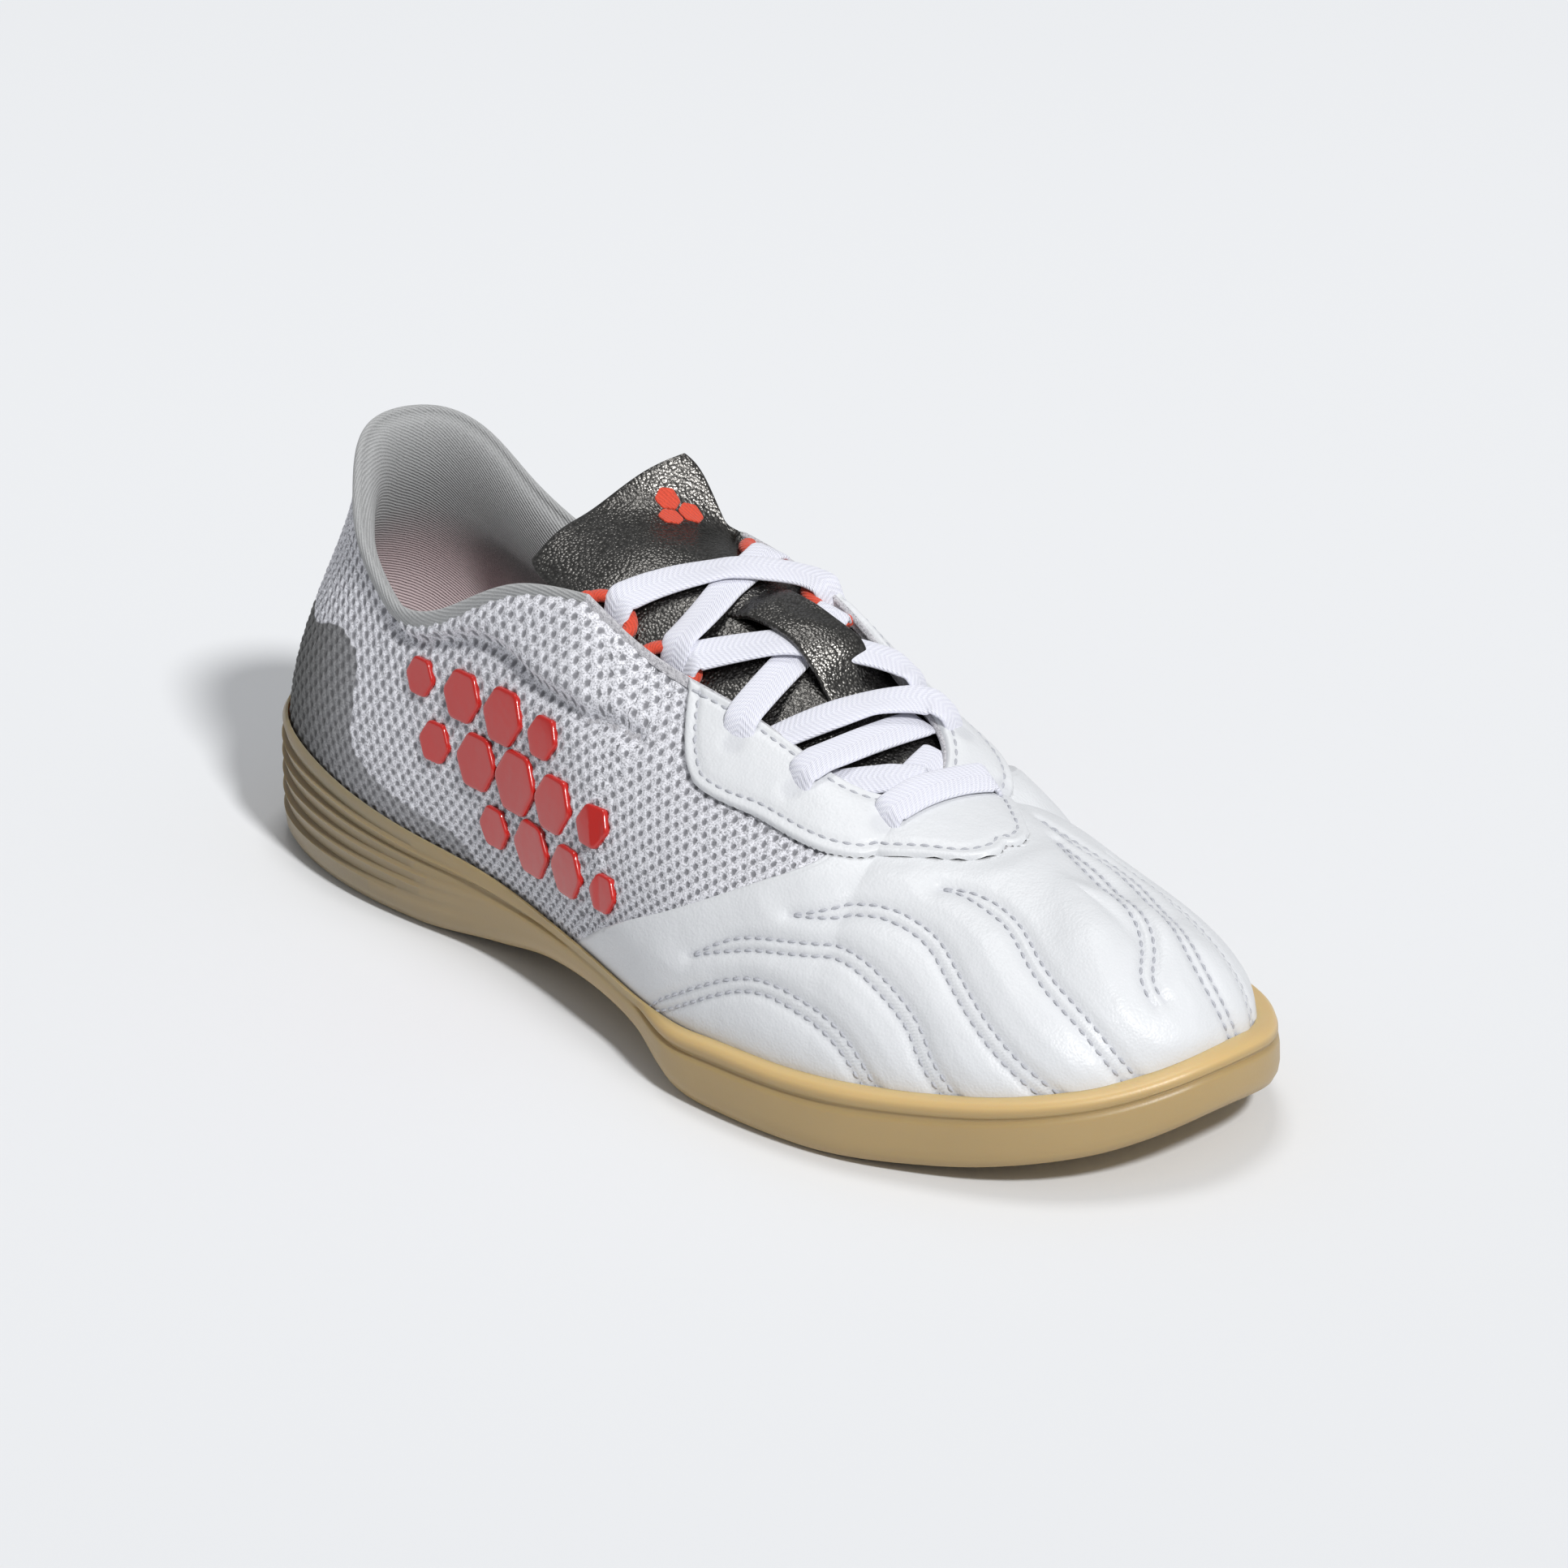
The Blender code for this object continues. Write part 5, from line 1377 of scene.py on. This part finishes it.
def make_outsole(finish):
    """The sole: its wall with heel ribs and forefoot groove, its cup and its tread."""
    stations = np.linspace(0, LOOP, 18 * LOOP + 1)[:-1]
    section, _ = sides_of(stations)
    feather, out = feather_line(stations)
    ground, floor, lip, wall, ribs = sole_at(stations)
    thickness = np.interp(section, [0, 4, 16, TOE_TIP], [HEEL_WALL, SIDE_WALL, SIDE_WALL, TOE_WALL]) * wall
    heel = 1 - smooth_step(section, 3.5, 7.5)
    rings = []
    for heel_share, heel_inset, front_share, front_inset in SOLE_WALL:
        share = front_share + (heel_share - front_share) * ribs
        inset = front_inset + (heel_inset - front_inset) * ribs
        height = ground + share * (lip - ground)
        offset = thickness - inset - HEEL_SLIMMING * heel
        if share.min() > LOWEST_BACKED_SHARE:
            _, inner = last_offset(stations, np.maximum(height, floor + CLEARANCE))
            offset = np.maximum(offset, inner + LEAST_WALL * (1 - 0.6 * heel))
        rings.append(np.column_stack([(feather + out * offset[:, None])[:, :2], height]))
    for share in (1.0, 0.5):
        points, _ = last_offset(stations, floor + share * (lip - floor))
        rings.append(points + out * CLEARANCE)
    rings.append(np.column_stack([(feather + out * CLEARANCE)[:, :2], floor]))
    points = np.array(rings).transpose(1, 0, 2) + SHIFT
    u = arc(points[:, :1], 0) * np.ones(points.shape[:2])
    # The lip layer marks where the gum's material paints light: the top of the forefoot's lip.
    front = smooth_step(section, 8.5, 11.0)[:, None]
    rings_up = np.array([row[2] for row in SOLE_WALL] + [1.0, 1.0, 1.0])
    thin = front * smooth_step(rings_up, 0.86, 0.97)[None, :]
    uv = np.stack([u, arc(points, 1)], axis=-1)
    mesh = grid_mesh("gum_outsole", points, uv=uv, layers={"lip": thin}, closed=True)
    low = points[:, 0]
    tread = between_sides(low, np.linspace(0, 1, 111))
    tread[..., 2] += tread_relief(tread, low)
    bottom = grid_mesh("tread", tread[:, ::-1])
    bm = bmesh.new()
    bm.from_mesh(mesh)
    bm.from_mesh(bottom)
    bmesh.ops.remove_doubles(bm, verts=bm.verts, dist=0.00001)
    bm.to_mesh(mesh)
    bm.free()
    mesh.shade_smooth()
    mesh.set_sharp_from_angle(angle=0.9)
    return put("gum_outsole", mesh, finish, ["outsole"])


class SHOE_OT_outsole(bpy.types.Operator):
    """Builds the gum cup sole."""

    bl_idname = "shoe.outsole"
    bl_label = "Outsole"

    def execute(self, context):
        make_outsole(gum_rubber())
        return {"FINISHED"}


class SHOE_OT_insole(bpy.types.Operator):
    """Builds the insole."""

    bl_idname = "shoe.insole"
    bl_label = "Insole"

    def execute(self, context):
        stations = np.linspace(0, LOOP, 8 * LOOP + 1)[:-1]
        feather, out = feather_line(stations)
        edge = feather - out * (UPPER_WALL + INSOLE_EASE) + SHIFT
        across = crowded(30, 0.04)
        points = between_sides(edge, across)
        points[..., 2] += INSOLE_THICKNESS / 2 + INSOLE_RIM * np.abs(2 * across - 1)[None, :] ** 4
        mesh = pillow("insole_pad", points, INSOLE_THICKNESS, INSOLE_ROUNDING, (False, False, True, True))
        made = put("insole_pad", mesh, insole_cover(), ["insole"])
        return {"FINISHED"}


def square_to(line, across):
    """The sideways and upward directions at each point of a line, square to its run."""
    run = np.gradient(line, axis=0)
    side = across - run * ((across * run).sum(axis=1) / (run**2).sum(axis=1))[:, None]
    side /= np.linalg.norm(side, axis=1, keepdims=True)
    up = np.cross(run, side)
    return side, up / np.linalg.norm(up, axis=1, keepdims=True)


def strip(centre, across, narrow):
    """A flat lace along a line, crowned and with round edges, as a grid with its surface lengths."""
    side, up = square_to(centre, across)
    up *= np.sign(up[:, 2:] + 1e-9)
    ring = []
    v = []
    for angle in np.linspace(0, 2 * np.pi, 29):
        x, z = np.cos(angle), np.sin(angle)
        wide = np.sign(x) * abs(x) ** 0.62 * look().lace_width / 2
        tall = np.sign(z) * abs(z) ** 0.75 * look().lace_thickness / 2
        ring.append(centre + side * (wide * narrow)[:, None] + up * tall)
        v.append(np.full(len(centre), wide))
    points = np.stack(ring, axis=1)
    u = arc(centre)[:, None] * np.ones(points.shape[:2])
    return points, np.stack([u, np.stack(v, axis=1)], axis=-1)


def joined_grids(name, grids, finish, nodes=()):
    """One piece from several tubes, each a grid of points with its surface lengths."""
    bm = bmesh.new()
    for points, uv in grids:
        part = grid_mesh(name, points[:, ::-1], uv=uv[:, ::-1])
        bm.from_mesh(part)
        bpy.data.meshes.remove(part)
    bmesh.ops.holes_fill(bm, edges=[e for e in bm.edges if e.is_boundary])
    bmesh.ops.recalc_face_normals(bm, faces=bm.faces)
    mesh = bpy.data.meshes.new(name)
    bm.to_mesh(mesh)
    bm.free()
    mesh.shade_smooth()
    return put(name, mesh, finish, nodes)


def throat_place(section, across, lower):
    """A place between the throat's edges, from -1 at the lateral one to 1 at the medial one."""
    lateral, medial = top_line([section, LOOP - section]) + SHIFT
    place = (lateral + medial) / 2 + (medial - lateral) / 2 * across
    return place - np.array([0, 0, lower])


def lace_path(places, ends, ground, over, bow):
    """A lace's middle line, tight over what lies under it, and its sideways directions.

    places are points in the frame and ends say how each end stops: in a hole, under an edge or in a loop.
    ground is a pair of trees, the whole shoe's and the tongue's. over are trees of laces already laid.
    """
    places = np.array(places)
    count = 72
    flat = places[:, :2]
    at = np.linspace(0, len(flat) - 1, count)
    plan = spline(flat, at) if len(flat) > 2 else flat[0] + (flat[1] - flat[0]) * at[:, None]
    run = unit(np.gradient(plan, axis=0))
    side = np.column_stack([-run[:, 1], run[:, 0]])
    half = look().lace_width / 2
    thick = look().lace_thickness
    length = arc(plan)
    heights = []
    for offset in (-0.75, 0, 0.75):
        line = []
        for k in range(count):
            x, y = plan[k] + side[k] * half * offset
            end = ends[0] if k < count / 2 else ends[1]
            tops = [height_at(tree, x, y) for tree in (ground[end != "hole"], *over)]
            tops = [top for top in tops if top is not None]
            line.append(max(tops) + thick / 2 + 0.0001 if tops else np.nan)
        line = np.array(line)
        good = ~np.isnan(line)
        line = np.interp(length, length[good], line[good])
        for which, end in zip((0, -1), ends):
            if end == "under":
                line[which] = places[which, 2]
        heights.append(hull_over(length, line))
    left, middle, right = heights
    height = np.maximum(middle, (left + right) / 2)
    height = height + bow * np.sin(np.pi * length / length[-1])
    tilt = (right - left) / (1.5 * half)
    narrow = np.ones(count)
    for end, gap in zip(ends, (length, length[-1] - length)):
        if end in LACE_ENDS:
            dip, reach, power, least = LACE_ENDS[end]
            height = height - dip * (1 - smooth_step(gap, 0.0, reach)) ** power
            narrow = np.minimum(narrow, least + (1 - least) * smooth_step(gap, 0.0, LACE_TAPER))
    return np.column_stack([plan, height]), np.column_stack([side, tilt]), narrow


def hull_over(x, y):
    """The lowest line without dips that stays over y."""
    hull = []
    for place in zip(x, y):
        while len(hull) > 1:
            first, middle = hull[-2], hull[-1]
            along = (middle[0] - first[0]) / (place[0] - first[0])
            if first[1] + along * (place[1] - first[1]) < middle[1]:
                break
            hull.pop()
        hull.append(place)
    return soften(np.interp(x, *np.array(hull).T), 3)


def hole_place(side, row):
    """Where a lace hole lies."""
    station, share = LACE_HOLES[side][row]
    return on_last(LOOP - station if side == "medial" else station, share)


def lace_place(first, second, lower=0.0):
    """A place of the lace: a hole's, by its side and row, or one between the throat's edges."""
    return hole_place(first, second) if first in LACE_HOLES else throat_place(first, second, lower)


class SHOE_OT_laces(bpy.types.Operator):
    """Builds the lace, from the bar up to the loops, and the tongue's keeper that holds it down."""

    bl_idname = "shoe.laces"
    bl_label = "Laces"

    def execute(self, context):
        things = bpy.data.objects
        under = ("eyestay_facing", "tongue_leather", "quarter_lateral", "quarter_medial", "vamp")
        cords = [thing for thing in things if thing.name.startswith("webbing_")]
        ground = (tree_of(*(things[name] for name in under)), tree_of(things["tongue_leather"], *cords))
        trees, grids = {}, []
        for name, spots, ends, over, bow in LACE_STRIPS:
            if "keeper" in over and "keeper" not in trees:
                held = [trees[strip_name] for strip_name in HELD_STRIPS]
                trees["keeper"] = tree_of(make_keeper(tree_of(things["tongue_leather"]), held))
            places = [lace_place(*spot) for spot in spots]
            path = lace_path(places, ends, ground, [trees[other] for other in over], bow)
            grids.append(strip(*path))
            trees[name] = grid_tree(grids[-1][0])
        nodes = ["lace_bar"] + [f"lace_cross_{k}" for k in (1, 2, 3, 4)]
        joined_grids("laces", grids, woven_lace(), nodes)
        return {"FINISHED"}


def tube(points, across, width, thickness, segments=16):
    """A round or flattened tube along a line, as a grid with its surface lengths."""
    side, up = square_to(points, across)
    ring = [
        points + side * np.cos(a) * width / 2 + up * np.sin(a) * thickness / 2
        for a in np.linspace(0, 2 * np.pi, segments + 1)
    ]
    grid = np.stack(ring, axis=1)
    u = arc(points)[:, None] * np.ones(grid.shape[:2])
    return grid, np.stack([u, arc(grid, 1)], axis=-1)


class SHOE_OT_loops(bpy.types.Operator):
    """Builds the cord loops at the top of the throat."""

    bl_idname = "shoe.loops"
    bl_label = "Lace loops"

    def execute(self, context):
        tongue = tree_of(bpy.data.objects["tongue_leather"])
        finish = webbing("loop_webbing", tuple(look().loop_colour))
        for name, sections in LOOP_SECTIONS.items():
            for count, section in enumerate(sections, start=1):
                station = LOOP - section if name == "medial" else section
                edge, far_edge = top_line([station, LOOP - station]) + SHIFT
                inward = unit(far_edge - edge)
                along = unit(top_line([station + 0.05])[0] - top_line([station - 0.05])[0])
                points = []
                for angle in np.linspace(-0.58 * np.pi, 0.58 * np.pi, 33):
                    reach = CORD_REACH * np.cos(angle) + 0.0012
                    place = edge + along * np.sin(angle) * CORD_HALF + inward * reach
                    place[2] -= 0.0024 - 0.0020 * float(smooth_step(reach, -0.0008, 0.0016))
                    lowest = height_at(tongue, place[0], place[1])
                    if lowest is not None and reach > 0.0012:
                        place[2] = lowest + 0.0011
                    points.append(place)
                points = soften(np.array(points), 5)
                across = np.cross(np.gradient(points, axis=0), (0.0, 0.0, 1.0)) + 1e-6
                grids = [tube(points, across, CORD_WIDTH, CORD_THICKNESS)]
                nodes = [f"lace_loop_{name}_{count}"]
                joined_grids(f"webbing_{name}_{count}", grids, finish, nodes)
        return {"FINISHED"}


def frame_on(station, share):
    """A place on the last with its forward, upward and outward directions."""
    place = on_last(station, share)
    normal = last_normals(station, share)
    forward = unit(np.array([1.0, 0, 0]) - normal * normal[0])
    upward = np.cross(normal, forward)
    upward *= np.sign(upward[2])
    return place, forward, upward, normal


def hexagon_patch(tree, place, forward, upward, normal, size, thickness, rings=9):
    """A thin six-sided tile draped over a surface, with soft corners and edges."""
    reach = np.concatenate([np.linspace(0, 0.88, rings), [0.93, 0.97, 0.99, 1.0, 1.0]])
    high = np.concatenate([np.ones(rings), [0.97, 0.82, 0.55, 0.2, -0.6]])
    points = []
    angles = np.linspace(0, 2 * np.pi, 49)
    for a in angles:
        corner = ((a + np.pi / 6) % (np.pi / 3)) - np.pi / 6
        straight = 1 / np.cos(corner)
        radius = size / 2 * min(straight, 1.105)
        turned = a + np.pi / 6
        row = []
        for r, h in zip(reach, high):
            flat = place + (forward * np.cos(turned) + upward * np.sin(turned)) * radius * r
            hit = tree.ray_cast(Vector(flat + normal * 0.012), Vector(-normal))
            at = np.array(hit[0]) if hit[0] is not None else flat
            row.append(at + normal * thickness * h)
        points.append(row)
    circle = np.column_stack([np.cos(angles), np.sin(angles)])
    return np.array(points), circle[:, None] * reach[None, :, None] * size / 2


def smooth_upper_tree():
    """The quarter's surface without its weave, for the tiles to lie on."""
    stations, shares = np.meshgrid(np.linspace(-13, 13, 400), np.linspace(0, 1, 70), indexing="ij")
    return grid_tree(on_last(stations % LOOP, shares))


class SHOE_OT_tiles(bpy.types.Operator):
    """Lays glossy hexagon tiles on both sides and a small one on the tongue."""

    bl_idname = "shoe.tiles"
    bl_label = "Tiles"

    def execute(self, context):
        tree = smooth_upper_tree()
        finish = glossy_film()
        station, share = TILE_START
        pitch = look().tile_size * TILE_PITCH
        for name, start in (("lateral", station), ("medial", LOOP - station)):
            grids = []
            place, forward, upward, normal = frame_on(start, share)
            for column, row, size in TILES:
                at = place + forward * (column + row / 2) * pitch + upward * row * TILE_ROW * pitch
                at = np.array(tree.find_nearest(Vector(at))[0])
                facing = np.array(tree.find_nearest(Vector(at))[1])
                facing *= np.sign(facing @ normal)
                ahead = unit(forward - facing * (forward @ facing))
                above = unit(upward - facing * (upward @ facing) - ahead * (upward @ ahead))
                across = look().tile_size * size
                grids.append(hexagon_patch(tree, at, ahead, above, facing, across, TILE_THICKNESS))
            joined_grids(f"tiles_{name}", grids, finish)
        tongue = tree_of(bpy.data.objects["tongue_leather"])
        base, tip = tongue_anchors(THROAT_TOP), tongue_tip()
        middle = base + (tip - base) * BADGE_UP
        before, place, after = spline(middle, [BADGE_ACROSS - 0.25, BADGE_ACROSS, BADGE_ACROSS + 0.25])
        across = unit(after - before)
        back = unit(tip[2] - base[2])
        normal = unit(np.cross(across, back))
        normal *= np.sign(normal[2])
        grids = []
        for x, y in BADGE:
            patch = (place + across * x - back * y, back, across, normal, BADGE_TILE, BADGE_THICKNESS)
            grids.append(hexagon_patch(tongue, *patch, rings=5))
        finish = webbing("badge_print", tuple(look().loop_colour))
        joined_grids("tongue_badge", grids, finish)
        return {"FINISHED"}


def stitches(lines, thing):
    """Short raised stitches on a piece along some lines, each sunk at its ends."""
    tree = tree_of(thing)
    long, gap = look().stitch_length, look().stitch_gap
    grids = []
    for line in lines:
        start = gap
        end = arc(line)[-1]
        while start + long < end:
            at = np.linspace(start, start + long, 7)
            found = [tree.find_nearest(Vector(p)) for p in read_line(line, at)]
            base = np.array([f[0] for f in found])
            normal = np.array([f[1] for f in found])
            arch = np.sin(np.linspace(0, np.pi, 7))
            path = base + normal * (STITCH_LIFT + STITCH_ARCH * arch - STITCH_SUNK)[:, None]
            across = np.cross(normal, np.gradient(path, axis=0))
            grids.append(tube(path, across, THREAD_WIDTH, THREAD_THICKNESS, 6))
            start += long + gap
    return grids


class SHOE_OT_stitches(bpy.types.Operator):
    """Sews the vamp's double seams and the eyestay's edges."""

    bl_idname = "shoe.stitches"
    bl_label = "Stitches"

    def execute(self, context):
        finish = sewing_thread()
        lines = [line for seam in SEAMS for line in seam_rows(seam)]
        things = bpy.data.objects
        joined_grids("vamp_stitches", stitches(lines, things["vamp"]), finish)
        facing = things["eyestay_facing"]
        joined_grids("eyestay_stitches", stitches(eyestay_seams(), facing), finish)
        return {"FINISHED"}


# The camera, as fitted to the photograph
CAMERA_AZIMUTH, CAMERA_ELEVATION, CAMERA_ROLL = np.radians((48.524, 24.805, -1.693))
CAMERA_TARGET = np.array([-0.00135, 0.01133, 0.03444])
CAMERA_DISTANCE = 1.656
CAMERA_LENS = 202.7


def make_camera():
    """A long lens from the front of the lateral side."""
    azimuth, elevation, roll = CAMERA_AZIMUTH, CAMERA_ELEVATION, CAMERA_ROLL
    back = np.array(
        [np.sin(azimuth) * np.cos(elevation), -np.cos(azimuth) * np.cos(elevation), np.sin(elevation)]
    )
    right = np.array([np.cos(azimuth), np.sin(azimuth), 0])
    up = np.cross(back, right)
    turned_right = right * np.cos(roll) + up * np.sin(roll)
    turned_up = -right * np.sin(roll) + up * np.cos(roll)
    data = bpy.data.cameras.new("camera")
    data.lens = CAMERA_LENS
    data.sensor_width = 36
    data.sensor_fit = "HORIZONTAL"
    data.clip_start, data.clip_end = 0.05, 20
    made = bpy.data.objects.new("camera", data)
    bpy.context.scene.collection.objects.link(made)
    turn = Matrix([list(row) for row in np.column_stack([turned_right, turned_up, back])])
    made.matrix_world = Matrix.Translation(CAMERA_TARGET + back * CAMERA_DISTANCE) @ turn.to_4x4()
    bpy.context.scene.camera = made


def add_light(name, kind, towards, distance, energy, **fields):
    """A light of some kind that faces the shoe from a direction."""
    data = bpy.data.lights.new(name, kind)
    data.energy = energy
    for key, value in fields.items():
        setattr(data, key, value)
    made = bpy.data.objects.new(name, data)
    direction = Vector(towards).normalized()
    made.location = direction * distance
    made.rotation_mode = "QUATERNION"
    made.rotation_quaternion = direction.to_track_quat("Z", "Y")
    bpy.context.scene.collection.objects.link(made)


class SHOE_OT_stage(bpy.types.Operator):
    """Sets up the floor, the lights and the camera."""

    bl_idname = "shoe.stage"
    bl_label = "Stage"

    def execute(self, context):
        floor = Finish("floor_paper", (0.80, 0.81, 0.825), 0.9, Specular_IOR_Level=0.1)
        tint = floor.noise(3.0, 2.0)
        floor.shade(Base_Color=floor.mix(tint, (0.80, 0.81, 0.825), (0.81, 0.82, 0.835)))
        steps = np.linspace(-6, 6, 9)
        grid = np.stack(np.meshgrid(steps, steps, [0.0], indexing="ij"), axis=-1)
        mesh = grid_mesh("floor", grid[:, :, 0])
        mesh.materials.append(floor.material)
        made = bpy.data.objects.new("floor", mesh)
        context.scene.collection.objects.link(made)
        world = bpy.data.worlds.new("studio")
        context.scene.world = world
        world.use_nodes = True
        background = world.node_tree.nodes["Background"]
        background.inputs["Color"].default_value = (0.95, 0.97, 1.0, 1)
        background.inputs["Strength"].default_value = 0.30
        add_light("key", "SUN", (0.69, -0.155, 0.71), 1.0, 2.45, angle=np.radians(7.0))
        add_light("overhead", "AREA", (-0.10, 0.13, 0.98), 1.5, 5.2, shape="SQUARE", size=0.45)
        context.scene.view_settings.view_transform = "Standard"
        make_camera()
        return {"FINISHED"}


class SHOE_PT_panel(bpy.types.Panel):
    """Lists the shoe's pieces and their settings."""

    bl_idname = "SHOE_PT_panel"
    bl_label = "Indoor Soccer Shoe"
    bl_space_type = "VIEW_3D"
    bl_region_type = "UI"
    bl_category = "Shoe"

    def draw(self, context):
        for key in ShoeLook.__annotations__:
            self.layout.prop(context.scene.shoe_look, key)
        for operator in OPERATORS:
            self.layout.operator(operator.bl_idname)


OPERATORS = (
    SHOE_OT_outsole,
    SHOE_OT_insole,
    SHOE_OT_quarters,
    SHOE_OT_vamp,
    SHOE_OT_linings,
    SHOE_OT_eyestay,
    SHOE_OT_tongue,
    SHOE_OT_loops,
    SHOE_OT_laces,
    SHOE_OT_tiles,
    SHOE_OT_stitches,
    SHOE_OT_stage,
)
CLASSES = (ShoeLook, *OPERATORS, SHOE_PT_panel)


def register():
    """Adds the shoe's classes and settings."""
    for item in CLASSES:
        bpy.utils.register_class(item)
    bpy.types.Scene.shoe_look = bpy.props.PointerProperty(
        type=ShoeLook, name="Shoe look", description="Sizes and colours of the shoe"
    )


def unregister():
    """Takes the shoe's classes and settings away."""
    del bpy.types.Scene.shoe_look
    for item in reversed(CLASSES):
        bpy.utils.unregister_class(item)


def main():
    """Builds every piece."""
    register()
    for operator in OPERATORS:
        getattr(bpy.ops.shoe, operator.bl_idname.split(".")[1])()


if __name__ == "__main__":
    main()
